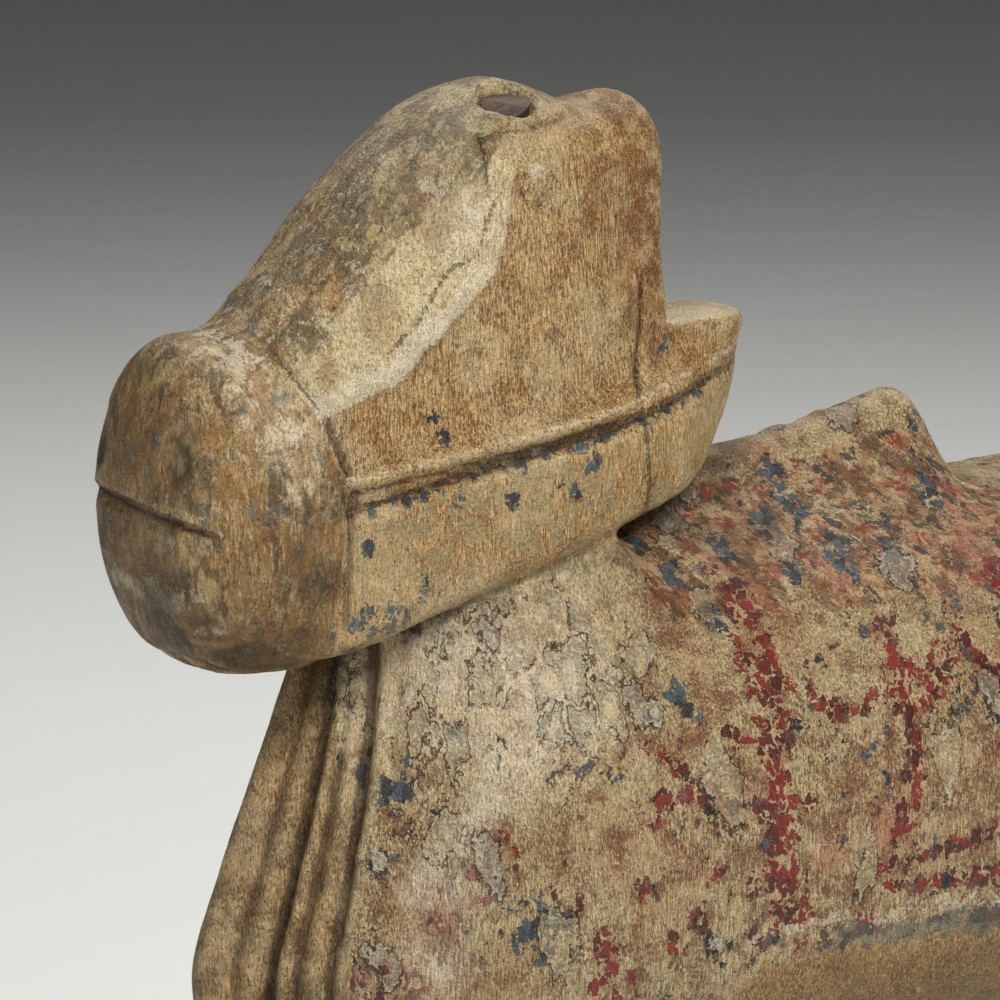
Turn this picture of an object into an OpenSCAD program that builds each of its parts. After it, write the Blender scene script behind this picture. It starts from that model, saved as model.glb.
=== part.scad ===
// Toy bull: an old folk-carved and painted humped bull, a pull toy on four wooden wheels.
// The nose points to -Y, the bull's left side is +X, up is +Z and the floor is z = 0.
// All sizes are millimetres.

/* [Overall] */
// Length from the nose to the tail
bull_length = 452; // [430:1:490]
// Height of the forehead above the floor
bull_height = 355; // [345:1:370]

/* [Head] */
// Length from the nose to the back of the head
head_length = 162; // [152:1:170]
// Height from the chin to the forehead
head_height = 131; // [124:1:136]
// Width across the jaw
jaw_width = 63; // [56:1:68]
// Width across the brow, where the horns stood
brow_width = 44; // [40:1:50]
// Thickness of the crest behind the horns
crest_width = 27; // [22:1:32]
// Width of the muzzle
muzzle_width = 60; // [54:1:66]
// Height of the muzzle
muzzle_height = 79; // [72:1:84]
// Depth of the muzzle from its face to its back edge, along the side
muzzle_depth = 41; // [36:1:45]
// Height of the mouth, a wedge that is deepest under the upper lip
mouth_gap = 5; // [3:0.5:7]
// Depth of the mouth under the upper lip
mouth_depth = 5; // [3:0.5:8]
// Width of the painted groove along the jaw
jaw_groove = 3.8; // [3:0.2:5]
// Width of a knife cut on the side of the head
knife_cut = 2.4; // [1.6:0.2:3]
// Height of an eye
eye_height = 12; // [10:0.5:14]
// Length of an eye
eye_length = 9; // [7:0.5:10]

/* [Horns] */
// Distance between the two horn tenons
horn_spacing = 25; // [23:1:28]
// Diameter of a horn tenon
tenon_d = 11; // [9:0.5:12]
// Depth of a horn tenon below its socket
tenon_depth = 16; // [10:1:22]
// Diameter of the socket mouth worn round a tenon
socket_d = 14; // [13.5:0.5:16]
// Outward lean of a horn tenon
horn_lean = 12; // [5:1:20]
// Forward lean of a horn tenon
horn_rake = 7; // [0:1:12]

/* [Body] */
// Width of the body at its widest
body_width = 134; // [124:1:144]
// Height of the back above the floor
back_height = 246; // [242:1:250]
// Height of the belly above the floor
belly_height = 114; // [110:1:120]
// Height of the hump above the back
hump_height = 25; // [20:1:30]
// Thickness of the hump along its top
hump_thickness = 11; // [8:1:18]
// Width of the chest between the shoulders
chest_width = 112; // [104:1:120]
// Depth of the pleats cut in the dewlap
pleat_depth = 3; // [2:0.5:4]
// Width of each pleat groove
pleat_groove = 4.4; // [3.6:0.2:5.2]
// Width of the tuft at the end of the tail
tail_width = 15; // [12:1:18]
// Depth from the tail's back to where its root lies in the rump
tail_root = 34; // [30:1:38]

/* [Legs] */
// Distance from the nose back to the front axle
nose_overhang = 86; // [82:1:92]
// Distance from the tail forward to the rear axle
tail_overhang = 74; // [70:1:80]
// Distance between the middles of a pair of legs
leg_spacing = 68; // [66:1:74]
// Width of a leg at the foot
leg_width = 30; // [26:1:32]
// Length of a leg at the foot, along the bull
leg_depth = 36; // [32:1:40]
// Length of the cross foot left beyond a leg on each side
foot_overhang = 2; // [1:0.5:6]
// Depth of the cross foot, along the bull
foot_depth = 40; // [36:1:46]
// Height of the cross foot
foot_height = 34; // [30:1:38]
// Radius of the cross foot's long edges
foot_corner = 7; // [5:1:9]

/* [Wheels] */
// Diameter of a wheel
wheel_d = 80; // [74:1:84]
// Thickness of a wheel at its rim
rim_width = 15; // [12:1:18]
// Diameter of the turned boss round the hub
hub_d = 30; // [26:1:36]
// Length of a hub along the axle
hub_length = 21; // [19:1:24]
// Diameter of an axle
axle_d = 8; // [7:0.5:9]
// Radial play between an axle and a wheel
wheel_play = 0.08; // [0.04:0.01:0.1]
// Side play between a wheel and a washer
side_play = 0.3; // [0.25:0.05:0.5]

/* [Irons] */
// Diameter of a washer
washer_d = 19; // [16:1:22]
// Thickness of a washer
washer_t = 2; // [1.5:0.5:3]
// Diameter of a linchpin
linchpin_d = 4; // [3:0.5:4.5]
// Length of axle left beyond a linchpin
axle_tip = 5; // [4:1:8]
// Diameter of the hole in the tow eye
tow_hole_d = 9; // [7:0.5:10]
// Thickness of the tow eye along its hole
tow_eye_t = 5; // [4:0.5:6]
// Width of iron round the hole of the tow eye
tow_eye_wall = 4.5; // [4:0.5:6]
// Diameter of the tow eye's shank
tow_shank_d = 7; // [6:0.5:8]
// Length of shank driven into the wood
tow_shank_depth = 11; // [8:1:12]

/* [Hidden] */

LEFT = 1;
RIGHT = -1;
FRONT = -1;
REAR = 1;

// A pin or tenon sits in its hole with this radial clearance
fit_gap = 0.05;
// A cut runs past the face that it opens by this much
past = 1;

nose_y = -bull_length/2;
tail_y = bull_length/2;
chin_z = bull_height - head_height;
half_jaw = jaw_width/2;
half_body = body_width/2;
half_chest = chest_width/2;
body_depth = back_height - belly_height;
foot_length = leg_spacing + leg_width + 2*foot_overhang;
half_foot = foot_length/2;

axle_z = wheel_d/2;
front_axle_y = nose_y + nose_overhang;
rear_axle_y = tail_y - tail_overhang;
axle_r = axle_d/2;
bore_r = axle_r + wheel_play;

// Places along an axle, outward from the cross foot
inner_washer_x = half_foot;
hub_x = inner_washer_x + washer_t + side_play;
outer_washer_x = hub_x + hub_length + side_play;
linchpin_x = outer_washer_x + washer_t + linchpin_d/2;
half_axle = linchpin_x + linchpin_d/2 + axle_tip;

function axle_y(end) = end == FRONT ? front_axle_y : rear_axle_y;

// Curves through a few listed stations. A table holds rows of [place, value], and a value
// is a number or a list of numbers. The slope runs on through each inner station.
function row_below(table, place) =
    max([0, each [for (i = [0:len(table) - 2]) if (table[i][0] <= place) i]]);
function slope_at(table, i) =
    let (a = max(i - 1, 0), b = min(i + 1, len(table) - 1))
    (table[b][1] - table[a][1])/(table[b][0] - table[a][0]);
function eased(table, place) =
    let (i = row_below(table, place))
    let (span = table[i + 1][0] - table[i][0])
    let (t = (place - table[i][0])/span)
    let (rise = slope_at(table, i)*span, run_out = slope_at(table, i + 1)*span)
    (2*t*t*t - 3*t*t + 1)*table[i][1] + (t*t*t - 2*t*t + t)*rise
    + (3*t*t - 2*t*t*t)*table[i + 1][1] + (t*t*t - t*t)*run_out;

function shares(count) = [for (i = [0:count]) i/count];
function mixed(a, b, share) = a + (b - a)*share;
function middle(ring) = [for (axis = [0:2]) (max([for (p = ring) p[axis]])
    + min([for (p = ring) p[axis]]))/2];

// The outline of the left half, closed by its own mirror image on the right
function both_sides(half) =
    [each half, for (i = [len(half) - 1:-1:0]) [-half[i][0], half[i][1], half[i][2]]];

// A closed skin over a list of rings that all have the same number of points
module skin(rings) {
    count = len(rings[0]);
    last = len(rings) - 1;
    start_middle = len(rings)*count;
    end_middle = start_middle + 1;
    points = [for (ring = rings) each ring, middle(rings[0]), middle(rings[last])];
    // Each four-sided patch is split along its shorter diagonal
    sides = [for (r = [0:last - 1], p = [0:count - 1])
        let (a = r*count + p, b = r*count + (p + 1)%count, c = b + count, d = a + count)
        each norm(points[a] - points[c]) < norm(points[b] - points[d]) ?
            [[a, b, c], [a, c, d]] : [[a, b, d], [b, c, d]]];
    start_cap = [for (p = [0:count - 1]) [start_middle, (p + 1)%count, p]];
    end_cap = [for (p = [0:count - 1])
        [end_middle, last*count + p, last*count + (p + 1)%count]];
    polyhedron(points, concat(sides, start_cap, end_cap), convexity = 8);
}

// A rounded section: squareness 2 is an ellipse and more is nearer a box
function round_x(angle, half_width, squareness) =
    half_width*sign(cos(angle))*pow(abs(cos(angle)), 2/squareness);
function round_z(angle, half_height, squareness) =
    half_height*sign(sin(angle))*pow(abs(sin(angle)), 2/squareness);

// Head. Its lines are tables of [share of the head length from the nose, share of a size].
HEAD_STEPS = 22;
HEAD_FROM = 0.13;
CREST_BACK = 0.825;

// Top of the bridge, the forehead, the saddle behind it and the crest
head_top = [[0.10, 0.54], [0.14, 0.59], [0.25, 0.715], [0.34, 0.835], [0.43, 0.925],
    [0.51, 0.98], [0.58, 1.0], [0.64, 0.98], [0.70, 0.95], [0.76, 0.96],
    [0.80, 0.96], [0.83, 0.925]];
// Lower edge of the jaw
head_keel = [[0.10, 0.055], [0.16, 0.03], [0.28, 0.045], [0.40, 0.09], [0.54, 0.14],
    [0.72, 0.20], [0.85, 0.24], [1.0, 0.30]];
// Painted groove along the jaw, and the ridge over it
head_groove = [[0.10, 0.285], [0.24, 0.305], [0.50, 0.36], [0.75, 0.405], [0.95, 0.45],
    [1.0, 0.46]];
head_ridge = [[0.10, 0.33], [0.24, 0.355], [0.50, 0.395], [0.75, 0.435], [1.0, 0.49]];
// Half widths, as shares of the half jaw: lower jaw, ridge, cheek hollow, facet, brow
head_half_widths = [
    [0.10, [0.66, 0.88, 0.84, 0.76, 0.42]],
    [0.16, [0.78, 0.90, 0.86, 0.80, 0.46]],
    [0.24, [0.93, 0.94, 0.88, 0.84, 0.52]],
    [0.40, [1.00, 0.98, 0.86, 0.83, 0.61]],
    [0.58, [1.00, 0.98, 0.83, 0.78, 0.68]],
    [0.70, [0.94, 0.92, 0.74, 0.64, 0.54]],
    [0.79, [0.82, 0.80, 0.61, 0.51, 0.43]],
    [0.83, [0.74, 0.72, 0.50, 0.43, 0.40]]];

function head_y(share) = nose_y + share*head_length;
function head_z(share) = chin_z + share*head_height;
// The brow and crest keep their own widths where the horns and the crest are
function brow_half(share, share_of_jaw) =
    let (wide = brow_width/2, thin = crest_width/2)
    let (own = mixed(wide, thin, min(max((share - 0.55)/0.27, 0), 1)))
    share < 0.45 ? min(share_of_jaw*half_jaw, wide) : mixed(share_of_jaw*half_jaw, own, 0.8);

// Heights of the points up the side of the head, as shares from the ridge to the top
side_heights = [0.07, 0.15, 0.25, 0.36, 0.47, 0.58, 0.69, 0.79, 0.87];
function jaw_widths(share) = eased(head_half_widths, share)*half_jaw;
function brow_at(share) = brow_half(share, eased(head_half_widths, share)[4]);
// Half width up the side of the head: rows of [share from the ridge to the top, half width]
function head_side(share) =
    let (w = jaw_widths(share), brow = brow_at(share))
    [[0, w[1]], [0.09, w[2]*1.02], [0.22, w[2]], [0.46, w[3]],
        [0.68, mixed(w[3], brow, 0.5)], [0.86, brow], [1, brow*0.66]];
function head_side_point(share, rise) =
    let (ridge = head_z(eased(head_ridge, share)), top = head_z(eased(head_top, share)))
    [eased(head_side(share), rise), head_y(share), mixed(ridge, top, rise)];

function head_ring(share) =
    let (y = head_y(share), keel = head_z(eased(head_keel, share)))
    let (top = head_z(eased(head_top, share)), groove = head_z(eased(head_groove, share)))
    let (ridge = head_z(eased(head_ridge, share)))
    let (w = jaw_widths(share), brow = brow_at(share), upper = top - ridge)
    both_sides([
        [w[0]*0.3, y, keel],
        [w[0]*0.72, y, keel + 0.003*head_height],
        [w[0]*0.94, y, keel + 0.023*head_height],
        [w[0], y, keel + 0.07*head_height],
        [w[0]*1.01, y, mixed(keel, groove, 0.75)],
        [w[0]*0.995, y, groove - jaw_groove/2],
        [w[1]*0.96, y, groove],
        [w[1]*0.98, y, groove + jaw_groove/2],
        [w[1], y, ridge],
        each [for (rise = side_heights) head_side_point(share, rise)],
        [brow*0.82, y, top - upper*0.055],
        [brow*0.5, y, top - upper*0.014],
        [brow*0.18, y, top]]);

module head_form() {
    skin([for (i = shares(HEAD_STEPS)) head_ring(mixed(HEAD_FROM, CREST_BACK, i))]);
}

// Low block behind the crest, flat on top and round at its back
lobe_top = 0.55;
lobe_keel = [[0.68, 0.20], [0.80, 0.235], [0.86, 0.26], [0.91, 0.31], [0.96, 0.38],
    [1.0, 0.45]];
lobe_half_widths = [[0.68, [0.86, 0.54]], [0.78, [0.85, 0.46]], [0.83, [0.77, 0.43]],
    [0.88, [0.60, 0.41]], [0.94, [0.38, 0.37]], [0.98, [0.22, 0.28]], [1.0, [0.08, 0.12]]];
function lobe_ring(share) =
    let (y = head_y(share), keel = head_z(eased(lobe_keel, share)), top = head_z(lobe_top))
    let (groove = head_z(eased(head_groove, share)))
    let (w = eased(lobe_half_widths, share)*half_jaw)
    both_sides([
        [w[0]*0.3, y, keel],
        [w[0]*0.75, y, keel],
        [w[0]*0.97, y, keel + 0.015*head_height],
        [w[0], y, mixed(keel, groove, 0.5)],
        [w[0]*0.96, y, groove - jaw_groove*0.4],
        [w[0]*0.90, y, groove],
        [mixed(w[0], w[1], 0.25), y, groove + jaw_groove/2],
        [mixed(w[0], w[1], 0.62), y, mixed(groove, top, 0.45)],
        [w[1]*1.06, y, mixed(groove, top, 0.8)],
        [w[1], y, mixed(groove, top, 0.97)],
        [w[1]*0.9, y, top]]);

module lobe_form() {
    skin([for (share = [0.68, 0.76, 0.82, 0.87, 0.91, 0.945, 0.97, 0.985, 1.0])
        lobe_ring(share)]);
}

// Muzzle: a rounded drum with a domed face and a curved back edge that stands proud
MUZZLE_POINTS = 32;
muzzle_tilt = 0.44;
brow_recess = 0.146*muzzle_depth;
chin_recess = 0.171*muzzle_depth;
cheek_recess = 0.073*muzzle_depth;
muzzle_z = chin_z + muzzle_height/2;
// Rows of [share of the depth from the face, share of the section]
muzzle_swell = [[0, 0.22], [0, 0.52], [0.02, 0.69], [0.07, 0.82], [0.17, 0.915],
    [0.34, 0.975], [0.60, 1.0], [0.86, 1.0], [0.95, 0.985], [1.0, 0.94]];

function muzzle_ring(row) = [for (i = [0:MUZZLE_POINTS - 1])
    let (angle = -90 + 360*i/MUZZLE_POINTS, high = sin(angle), upper = high > 0)
    let (back = muzzle_depth*(upper ? 1 - muzzle_tilt*high*high : 1))
    let (squareness = upper ? 2.15 : 2.9)
    let (out = round_x(angle, row[1], squareness), rise = round_z(angle, row[1], squareness))
    let (recess = (upper ? brow_recess : chin_recess)*rise*rise + cheek_recess*out*out)
    [out*muzzle_width/2, nose_y + recess*(1 - row[0]) + back*row[0],
        muzzle_z + rise*muzzle_height/2]];

module muzzle_form() {
    skin([for (row = muzzle_swell) muzzle_ring(row)]);
}

// Mouth: a wedge across the face, with a shallow round nostril over each half
mouth_z = muzzle_z - 0.01*muzzle_height;
nostril_d = 0.25*muzzle_width;
nostril_x = 0.3*muzzle_width;
nostril_rise = 0.17*muzzle_height;
module mouth_cut() {
    translate([-muzzle_width/2 - past, nose_y, mouth_z])
        rotate([90, 0, 90])
            linear_extrude(muzzle_width + 2*past)
                polygon([[-past, 0], [mouth_depth, 0], [-past, -mouth_gap]]);
    for (side = [LEFT, RIGHT])
        translate([side*nostril_x, nose_y - nostril_d*0.22, mouth_z + nostril_rise])
            sphere(d = nostril_d, $fn = 14);
}

// Knife cuts on each side of the head, from one [head share, rise share] to the next:
// the line under the brow with its nick, and the upright cut behind the cheek
brow_cuts = [[0.505, 0.75], [0.511, 0.90], [0.655, 0.965]];
cheek_cuts = [[0.747, 0.10], [0.759, 0.37]];
eye_at = [0.574, 0.74];
eye_bulge = 0.2;
module knife_line(stops) {
    for (i = [0:len(stops) - 2])
        hull()
            for (stop = [stops[i], stops[i + 1]])
                translate(head_side_point(stop[0], stop[1]) - [knife_cut/2, 0, 0])
                    rotate([0, 90, 0])
                        cylinder(h = 2*knife_cut, d1 = 0, d2 = 4*knife_cut, $fn = 8);
}

module face_cuts() {
    for (turn = [0, 1])
        mirror([turn, 0, 0]) {
            knife_line(brow_cuts);
            knife_line(cheek_cuts);
            translate(head_side_point(eye_at[0], eye_at[1]))
                scale([eye_bulge, eye_length/eye_height, 1])
                    sphere(d = eye_height, $fn = 12);
        }
}

// Neck and chest: level rings that narrow to a pleated dewlap in front
// Rows of [height share from brisket to throat, [front setback, shoulder width, fan of the
// pleats, back setback]], with both setbacks as shares of the head length
NECK_STEPS = 13;
brisket_z = belly_height - 0.11*body_depth;
throat_z = chin_z + 0.252*head_height;
neck_lines = [
    [0.00, [0.309, 0.34, 0.50, 0.593]],
    [0.08, [0.216, 0.62, 0.76, 0.704]],
    [0.19, [0.130, 0.88, 0.95, 0.840]],
    [0.32, [0.090, 0.99, 1.00, 0.963]],
    [0.475, [0.136, 0.99, 0.92, 1.012]],
    [0.63, [0.194, 0.88, 0.78, 0.988]],
    [0.76, [0.244, 0.71, 0.62, 0.90]],
    [0.86, [0.278, 0.56, 0.52, 0.78]],
    [1.00, [0.321, 0.42, 0.44, 0.66]]];
// Line of the pleated front in plan at full fan, in shares of the half chest:
// rows of [distance along it, [out, back]]
pleat_shares = [[0, [0, 0]], [0.054, [0.046, 0.016]], [0.161, [0.125, 0.086]],
    [0.330, [0.239, 0.214]], [0.607, [0.471, 0.366]], [0.786, [0.598, 0.491]]];
pleat_line = [for (row = pleat_shares) [row[0]*half_chest, row[1]*half_chest]];
pleat_corner = pleat_line[len(pleat_line) - 1][0];
pleat_grooves = [pleat_line[3][0], pleat_line[4][0]];
function groove_sink(place) = max([for (g = pleat_grooves)
    max(1 - abs(place - g)/(pleat_groove/2), 0)])*pleat_depth;
function across_groove(g) = [g - pleat_groove/2, g, g + pleat_groove/2];
pleat_places = [
    each [0.014, 0.057, 0.134, 0.223]*half_chest,
    each across_groove(pleat_grooves[0]),
    mixed(pleat_grooves[0], pleat_grooves[1], 0.48),
    each across_groove(pleat_grooves[1]),
    pleat_corner];

function neck_point(place, fan, front, z) =
    let (at = eased(pleat_line, place)*fan, sink = groove_sink(place)*min(fan, 1))
    [max(at[0] - sink*0.55, 0), front + at[1] + sink*0.85, z];

function neck_ring(share) =
    let (z = mixed(brisket_z, throat_z, share), line = eased(neck_lines, share))
    let (front = nose_y + line[0]*head_length, wide = half_chest*line[1], fan = line[2])
    let (back = nose_y + line[3]*head_length)
    let (shoulder = min(head_y(0.48), back - 0.185*head_length))
    let (corner = neck_point(pleat_corner, fan, front, z))
    both_sides([
        each [for (place = pleat_places) neck_point(place, fan, front, z)],
        [mixed(corner[0], wide, 0.45), mixed(corner[1], shoulder, 0.42), z],
        [mixed(corner[0], wide, 0.82), mixed(corner[1], shoulder, 0.78), z],
        [wide, mixed(shoulder, back, 0.12), z],
        [wide*1.03, mixed(shoulder, back, 0.5), z],
        [wide*1.02, back, z],
        [wide*0.3, back + 0.02*head_length, z]]);

module neck_form() {
    skin([for (i = shares(NECK_STEPS)) neck_ring(1 - i)]);
}

// Trunk: upright sections along the back, boxy under the flank and softer on top
TRUNK_POINTS = 24;
trunk_front = nose_y + 0.128*bull_length;
trunk_back = tail_y - 0.024*bull_length;
// Rows of [share along the trunk, [half width share, top share, belly share]]
trunk_lines = [
    [0.00, [0.36, 0.74, 0.20]],
    [0.06, [0.68, 0.85, 0.10]],
    [0.15, [0.84, 0.93, 0.04]],
    [0.30, [0.96, 0.98, 0.01]],
    [0.45, [1.00, 1.00, 0.00]],
    [0.62, [1.00, 1.01, 0.00]],
    [0.76, [0.98, 1.03, 0.03]],
    [0.87, [0.94, 1.02, 0.06]],
    [0.94, [0.86, 0.98, 0.10]],
    [0.98, [0.74, 0.92, 0.16]],
    [0.995, [0.58, 0.84, 0.24]],
    [1.00, [0.34, 0.72, 0.38]]];
trunk_places = [0, 0.06, 0.13, 0.21, 0.30, 0.40, 0.50, 0.60, 0.70, 0.79, 0.87, 0.92, 0.95,
    0.975, 0.99, 0.997, 1];

function trunk_ring(share) =
    let (line = eased(trunk_lines, share), y = mixed(trunk_front, trunk_back, share))
    let (wide = half_body*line[0])
    let (top = belly_height + body_depth*line[1], low = belly_height + body_depth*line[2])
    let (mid = mixed(low, top, 0.46))
    [for (i = [0:TRUNK_POINTS - 1])
        let (angle = -90 + 360*i/TRUNK_POINTS)
        let (upper = sin(angle) > 0, half = upper ? top - mid : mid - low)
        [round_x(angle, wide, upper ? 2.5 : 3.2), y,
            mid + round_z(angle, half, upper ? 2.1 : 3.0)]];

module trunk_form() {
    skin([for (place = trunk_places) trunk_ring(place)]);
}

// Hump: a thin rising ridge whose flanks ease into the back and shoulders
// Rows of [share of the bull's length from the nose, [top share, flank share]]
hump_lines = [
    [0.212, [0.40, 0.50]],
    [0.248, [0.46, 0.60]],
    [0.288, [0.52, 0.70]],
    [0.332, [0.58, 0.78]],
    [0.376, [0.67, 0.83]],
    [0.420, [0.82, 0.84]],
    [0.447, [0.94, 0.82]],
    [0.462, [1.00, 0.78]],
    [0.476, [0.84, 0.73]],
    [0.487, [0.48, 0.68]],
    [0.500, [0.12, 0.62]],
    [0.513, [-0.10, 0.54]]];
// Points up the flank: [share of the flank's half width, drop below the back as a share of
// the body's depth, share of the rise]
hump_flank = [[0.50, 0.455, 0], [0.93, 0.379, 0], [0.98, 0.303, 0], [0.93, 0.220, 0.01],
    [0.865, 0.167, 0.03], [0.775, 0.118, 0.06], [0.61, 0.068, 0.13], [0.44, 0.041, 0.24],
    [0.30, 0.026, 0.42], [0.19, 0.015, 0.64]];
hump_edge = 0.12*hump_height;
function hump_ring(row) =
    let (y = nose_y + row[0]*bull_length, rise = hump_height*row[1][0])
    let (wide = half_body*row[1][1], thin = hump_thickness/2)
    both_sides([
        each [for (f = hump_flank) [wide*f[0], y, back_height - body_depth*f[1] + rise*f[2]]],
        [thin*1.1, y, back_height + rise - hump_edge],
        [thin*0.5, y, back_height + rise]]);

module hump_form() {
    skin([for (row = hump_lines) hump_ring(row)]);
}

// Legs: tapered posts, the hind pair broader at the haunch
LEG_POINTS = 14;
LEG_STEPS = 8;
shoulder_rise = 0.394*body_depth;
haunch_rise = 0.56*body_depth;
// Rows of [share up the leg, [width share, depth share, setback share]]
fore_leg_lines = [[0, [1.0, 1.0, 0]], [0.35, [1.0, 1.0, 0]], [0.6, [1.08, 1.12, -0.03]],
    [0.82, [1.14, 1.25, -0.08]], [0.94, [1.02, 1.1, -0.11]], [1, [0.8, 0.5, -0.14]]];
hind_leg_lines = [[0, [1.0, 1.0, 0]], [0.25, [1.0, 0.96, 0.08]], [0.45, [1.14, 1.25, 0.11]],
    [0.72, [1.56, 2.0, 0]], [0.9, [1.46, 1.7, -0.08]], [1, [0.9, 0.8, -0.17]]];
function leg_lines(end) = end == FRONT ? fore_leg_lines : hind_leg_lines;
function leg_top_z(end) = belly_height + (end == FRONT ? shoulder_rise : haunch_rise);
function leg_ring(end, side, share) =
    let (line = eased(leg_lines(end), share), z = mixed(axle_z, leg_top_z(end), share))
    [for (i = [0:LEG_POINTS - 1])
        let (angle = 360*i/LEG_POINTS)
        [side*leg_spacing/2 + round_x(angle, leg_width/2*line[0], 3),
            axle_y(end) + leg_depth*line[2] + round_z(angle, leg_depth/2*line[1], 3), z]];

module leg_form(end, side) {
    skin([for (i = shares(LEG_STEPS)) leg_ring(end, side, 1 - i)]);
}

// Cross foot under a pair of legs, with rounded edges along its length
module foot_form(end) {
    translate([-half_foot, axle_y(end), axle_z])
        rotate([90, 0, 90])
            linear_extrude(foot_length)
                offset(r = foot_corner, $fn = 24)
                    square([foot_depth - 2*foot_corner, foot_height - 2*foot_corner],
                        center = true);
}

// Tail: carved in relief down the rump, with a tuft at its end
// Rows of [share down the tail, [width share, inner setback, outer setback]], with both
// setbacks as shares of the root's depth
TAIL_POINTS = 10;
TAIL_STEPS = 8;
tail_lines = [[0, [0.67, 1, 0.41]], [0.12, [0.80, 0.88, 0.18]], [0.35, [0.73, 0.76, 0.04]],
    [0.6, [0.67, 0.76, 0.04]], [0.75, [1, 0.76, 0]], [0.9, [0.93, 0.76, 0.03]],
    [1, [0.4, 0.71, 0.21]]];
function tail_ring(share) =
    let (z = mixed(back_height - 0.06*body_depth, belly_height + 0.26*body_depth, share))
    let (line = eased(tail_lines, share), wide = line[0]*tail_width/2)
    let (outer = line[2]*tail_root, half = (line[1] - line[2])*tail_root/2)
    [for (i = [0:TAIL_POINTS - 1])
        let (angle = 360*i/TAIL_POINTS)
        [wide*cos(angle), tail_y - outer - half + half*sin(angle), z]];

module tail_form() {
    skin([for (i = shares(TAIL_STEPS)) tail_ring(i)]);
}

// The whole figure is carved from one block
module carved_forms() {
    difference() {
        union() {
            head_form();
            lobe_form();
            muzzle_form();
            neck_form();
            trunk_form();
            hump_form();
            tail_form();
            for (end = [FRONT, REAR]) {
                foot_form(end);
                for (side = [LEFT, RIGHT]) leg_form(end, side);
            }
        }
        mouth_cut();
        face_cuts();
    }
}

// Horn tenons stand in round holes under a worn socket mouth
horn_y = head_y(0.565);
horn_rim_z = head_z(0.977);
socket_depth = 3.4;
// The socket mouth is worn wider towards its rim
socket_wear = 1.6;
socket_reach = 12;
stub_height = 2;
module at_horn(side) {
    translate([side*horn_spacing/2, horn_y, horn_rim_z])
        rotate([horn_rake, side*horn_lean, 0])
            children();
}

module horn_hole(side) {
    at_horn(side) {
        translate([0, 0, -socket_depth])
            cylinder(h = socket_reach, d1 = socket_d, d2 = socket_d + socket_wear, $fn = 24);
        translate([0, 0, -tenon_depth])
            cylinder(h = tenon_depth, r = tenon_d/2 + fit_gap, $fn = 24);
    }
}

module horn_stub(side) {
    color("sienna")
        at_horn(side)
            difference() {
                translate([0, 0, -tenon_depth])
                    cylinder(h = tenon_depth - socket_depth + stub_height, d = tenon_d,
                        $fn = 24);
                // The horn broke off at a slant
                translate([0, 0, stub_height - socket_depth])
                    rotate([14, 10, 0])
                        translate([-tenon_d, -tenon_d, 0])
                            cube([2*tenon_d, 2*tenon_d, tenon_d]);
            }
}

module carved_bull() {
    color("tan")
        difference() {
            resize([0, 0, 0])
                carved_forms();
            for (end = [FRONT, REAR])
                translate([-half_foot - past, axle_y(end), axle_z])
                    rotate([0, 90, 0])
                        cylinder(h = foot_length + 2*past, r = axle_r + fit_gap, $fn = 20);
            for (side = [LEFT, RIGHT]) horn_hole(side);
            translate([0, tow_face_y - past, axle_z])
                rotate([-90, 0, 0])
                    cylinder(h = tow_shank_depth + past + shank_end_gap,
                        r = tow_shank_d/2 + fit_gap, $fn = 16);
        }
}

// Axle: a forged bar, drilled across near each end for its linchpin
module axle(end) {
    color("dimgray")
        difference() {
            translate([-half_axle, axle_y(end), axle_z])
                rotate([0, 90, 0])
                    cylinder(h = 2*half_axle, r = axle_r, $fn = 20);
            for (side = [LEFT, RIGHT])
                translate([side*linchpin_x, axle_y(end), axle_z - axle_d])
                    cylinder(h = 2*axle_d, r = linchpin_d/2 + fit_gap, $fn = 14);
        }
}

// Wheel: a turned disc with a boss on both faces and a ring groove on each
ring_groove = 4;
ring_groove_depth = 1.4;
rim_band = 7;
rim_round = 3;
boss_round = 2;
// The outline from the bore along one face to the middle of the tread, then mirrored back
module wheel_outline() {
    tread_r = wheel_d/2;
    groove_r = tread_r - rim_band - ring_groove/2;
    half = [
        [bore_r, hub_length/2],
        [hub_d/2 - boss_round, hub_length/2],
        [hub_d/2, hub_length/2 - boss_round],
        [hub_d/2 + boss_round, rim_width/2],
        [groove_r - ring_groove/2, rim_width/2],
        [groove_r, rim_width/2 - ring_groove_depth],
        [groove_r + ring_groove/2, rim_width/2],
        [tread_r - rim_round, rim_width/2],
        [tread_r - rim_round*0.2, rim_width/2 - rim_round*0.7]];
    polygon([each half, [tread_r, 0],
        for (i = [len(half) - 1:-1:0]) [half[i][0], -half[i][1]]]);
}

module wheel(end, side) {
    color("peru")
        translate([side*(hub_x + hub_length/2), axle_y(end), axle_z])
            rotate([0, 90, 0])
                rotate_extrude($fn = 24)
                    wheel_outline();
}

module washer(end, side, x) {
    color("slategray")
        translate([side*(x + washer_t/2), axle_y(end), axle_z])
            rotate([0, 90, 0])
                difference() {
                    cylinder(h = washer_t, d = washer_d, center = true, $fn = 16);
                    cylinder(h = washer_t + past, r = bore_r, center = true, $fn = 16);
                }
}

// Linchpin: a forged pin with a ring head, dropped through the axle
linchpin_ring_r = 4;
linchpin_below = 6;
linchpin_above = 4;
module linchpin(end, side) {
    below = axle_r + linchpin_below;
    above = axle_r + linchpin_above;
    color("dimgray")
        translate([side*linchpin_x, axle_y(end), axle_z]) {
            translate([0, 0, -below])
                cylinder(h = below + above, d = linchpin_d, $fn = 14);
            translate([0, 0, above + linchpin_ring_r - linchpin_d*0.2])
                rotate([0, 90, 0])
                    rotate_extrude($fn = 14)
                        translate([linchpin_ring_r, 0])
                            circle(d = linchpin_d*0.8, $fn = 7);
        }
}

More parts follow.
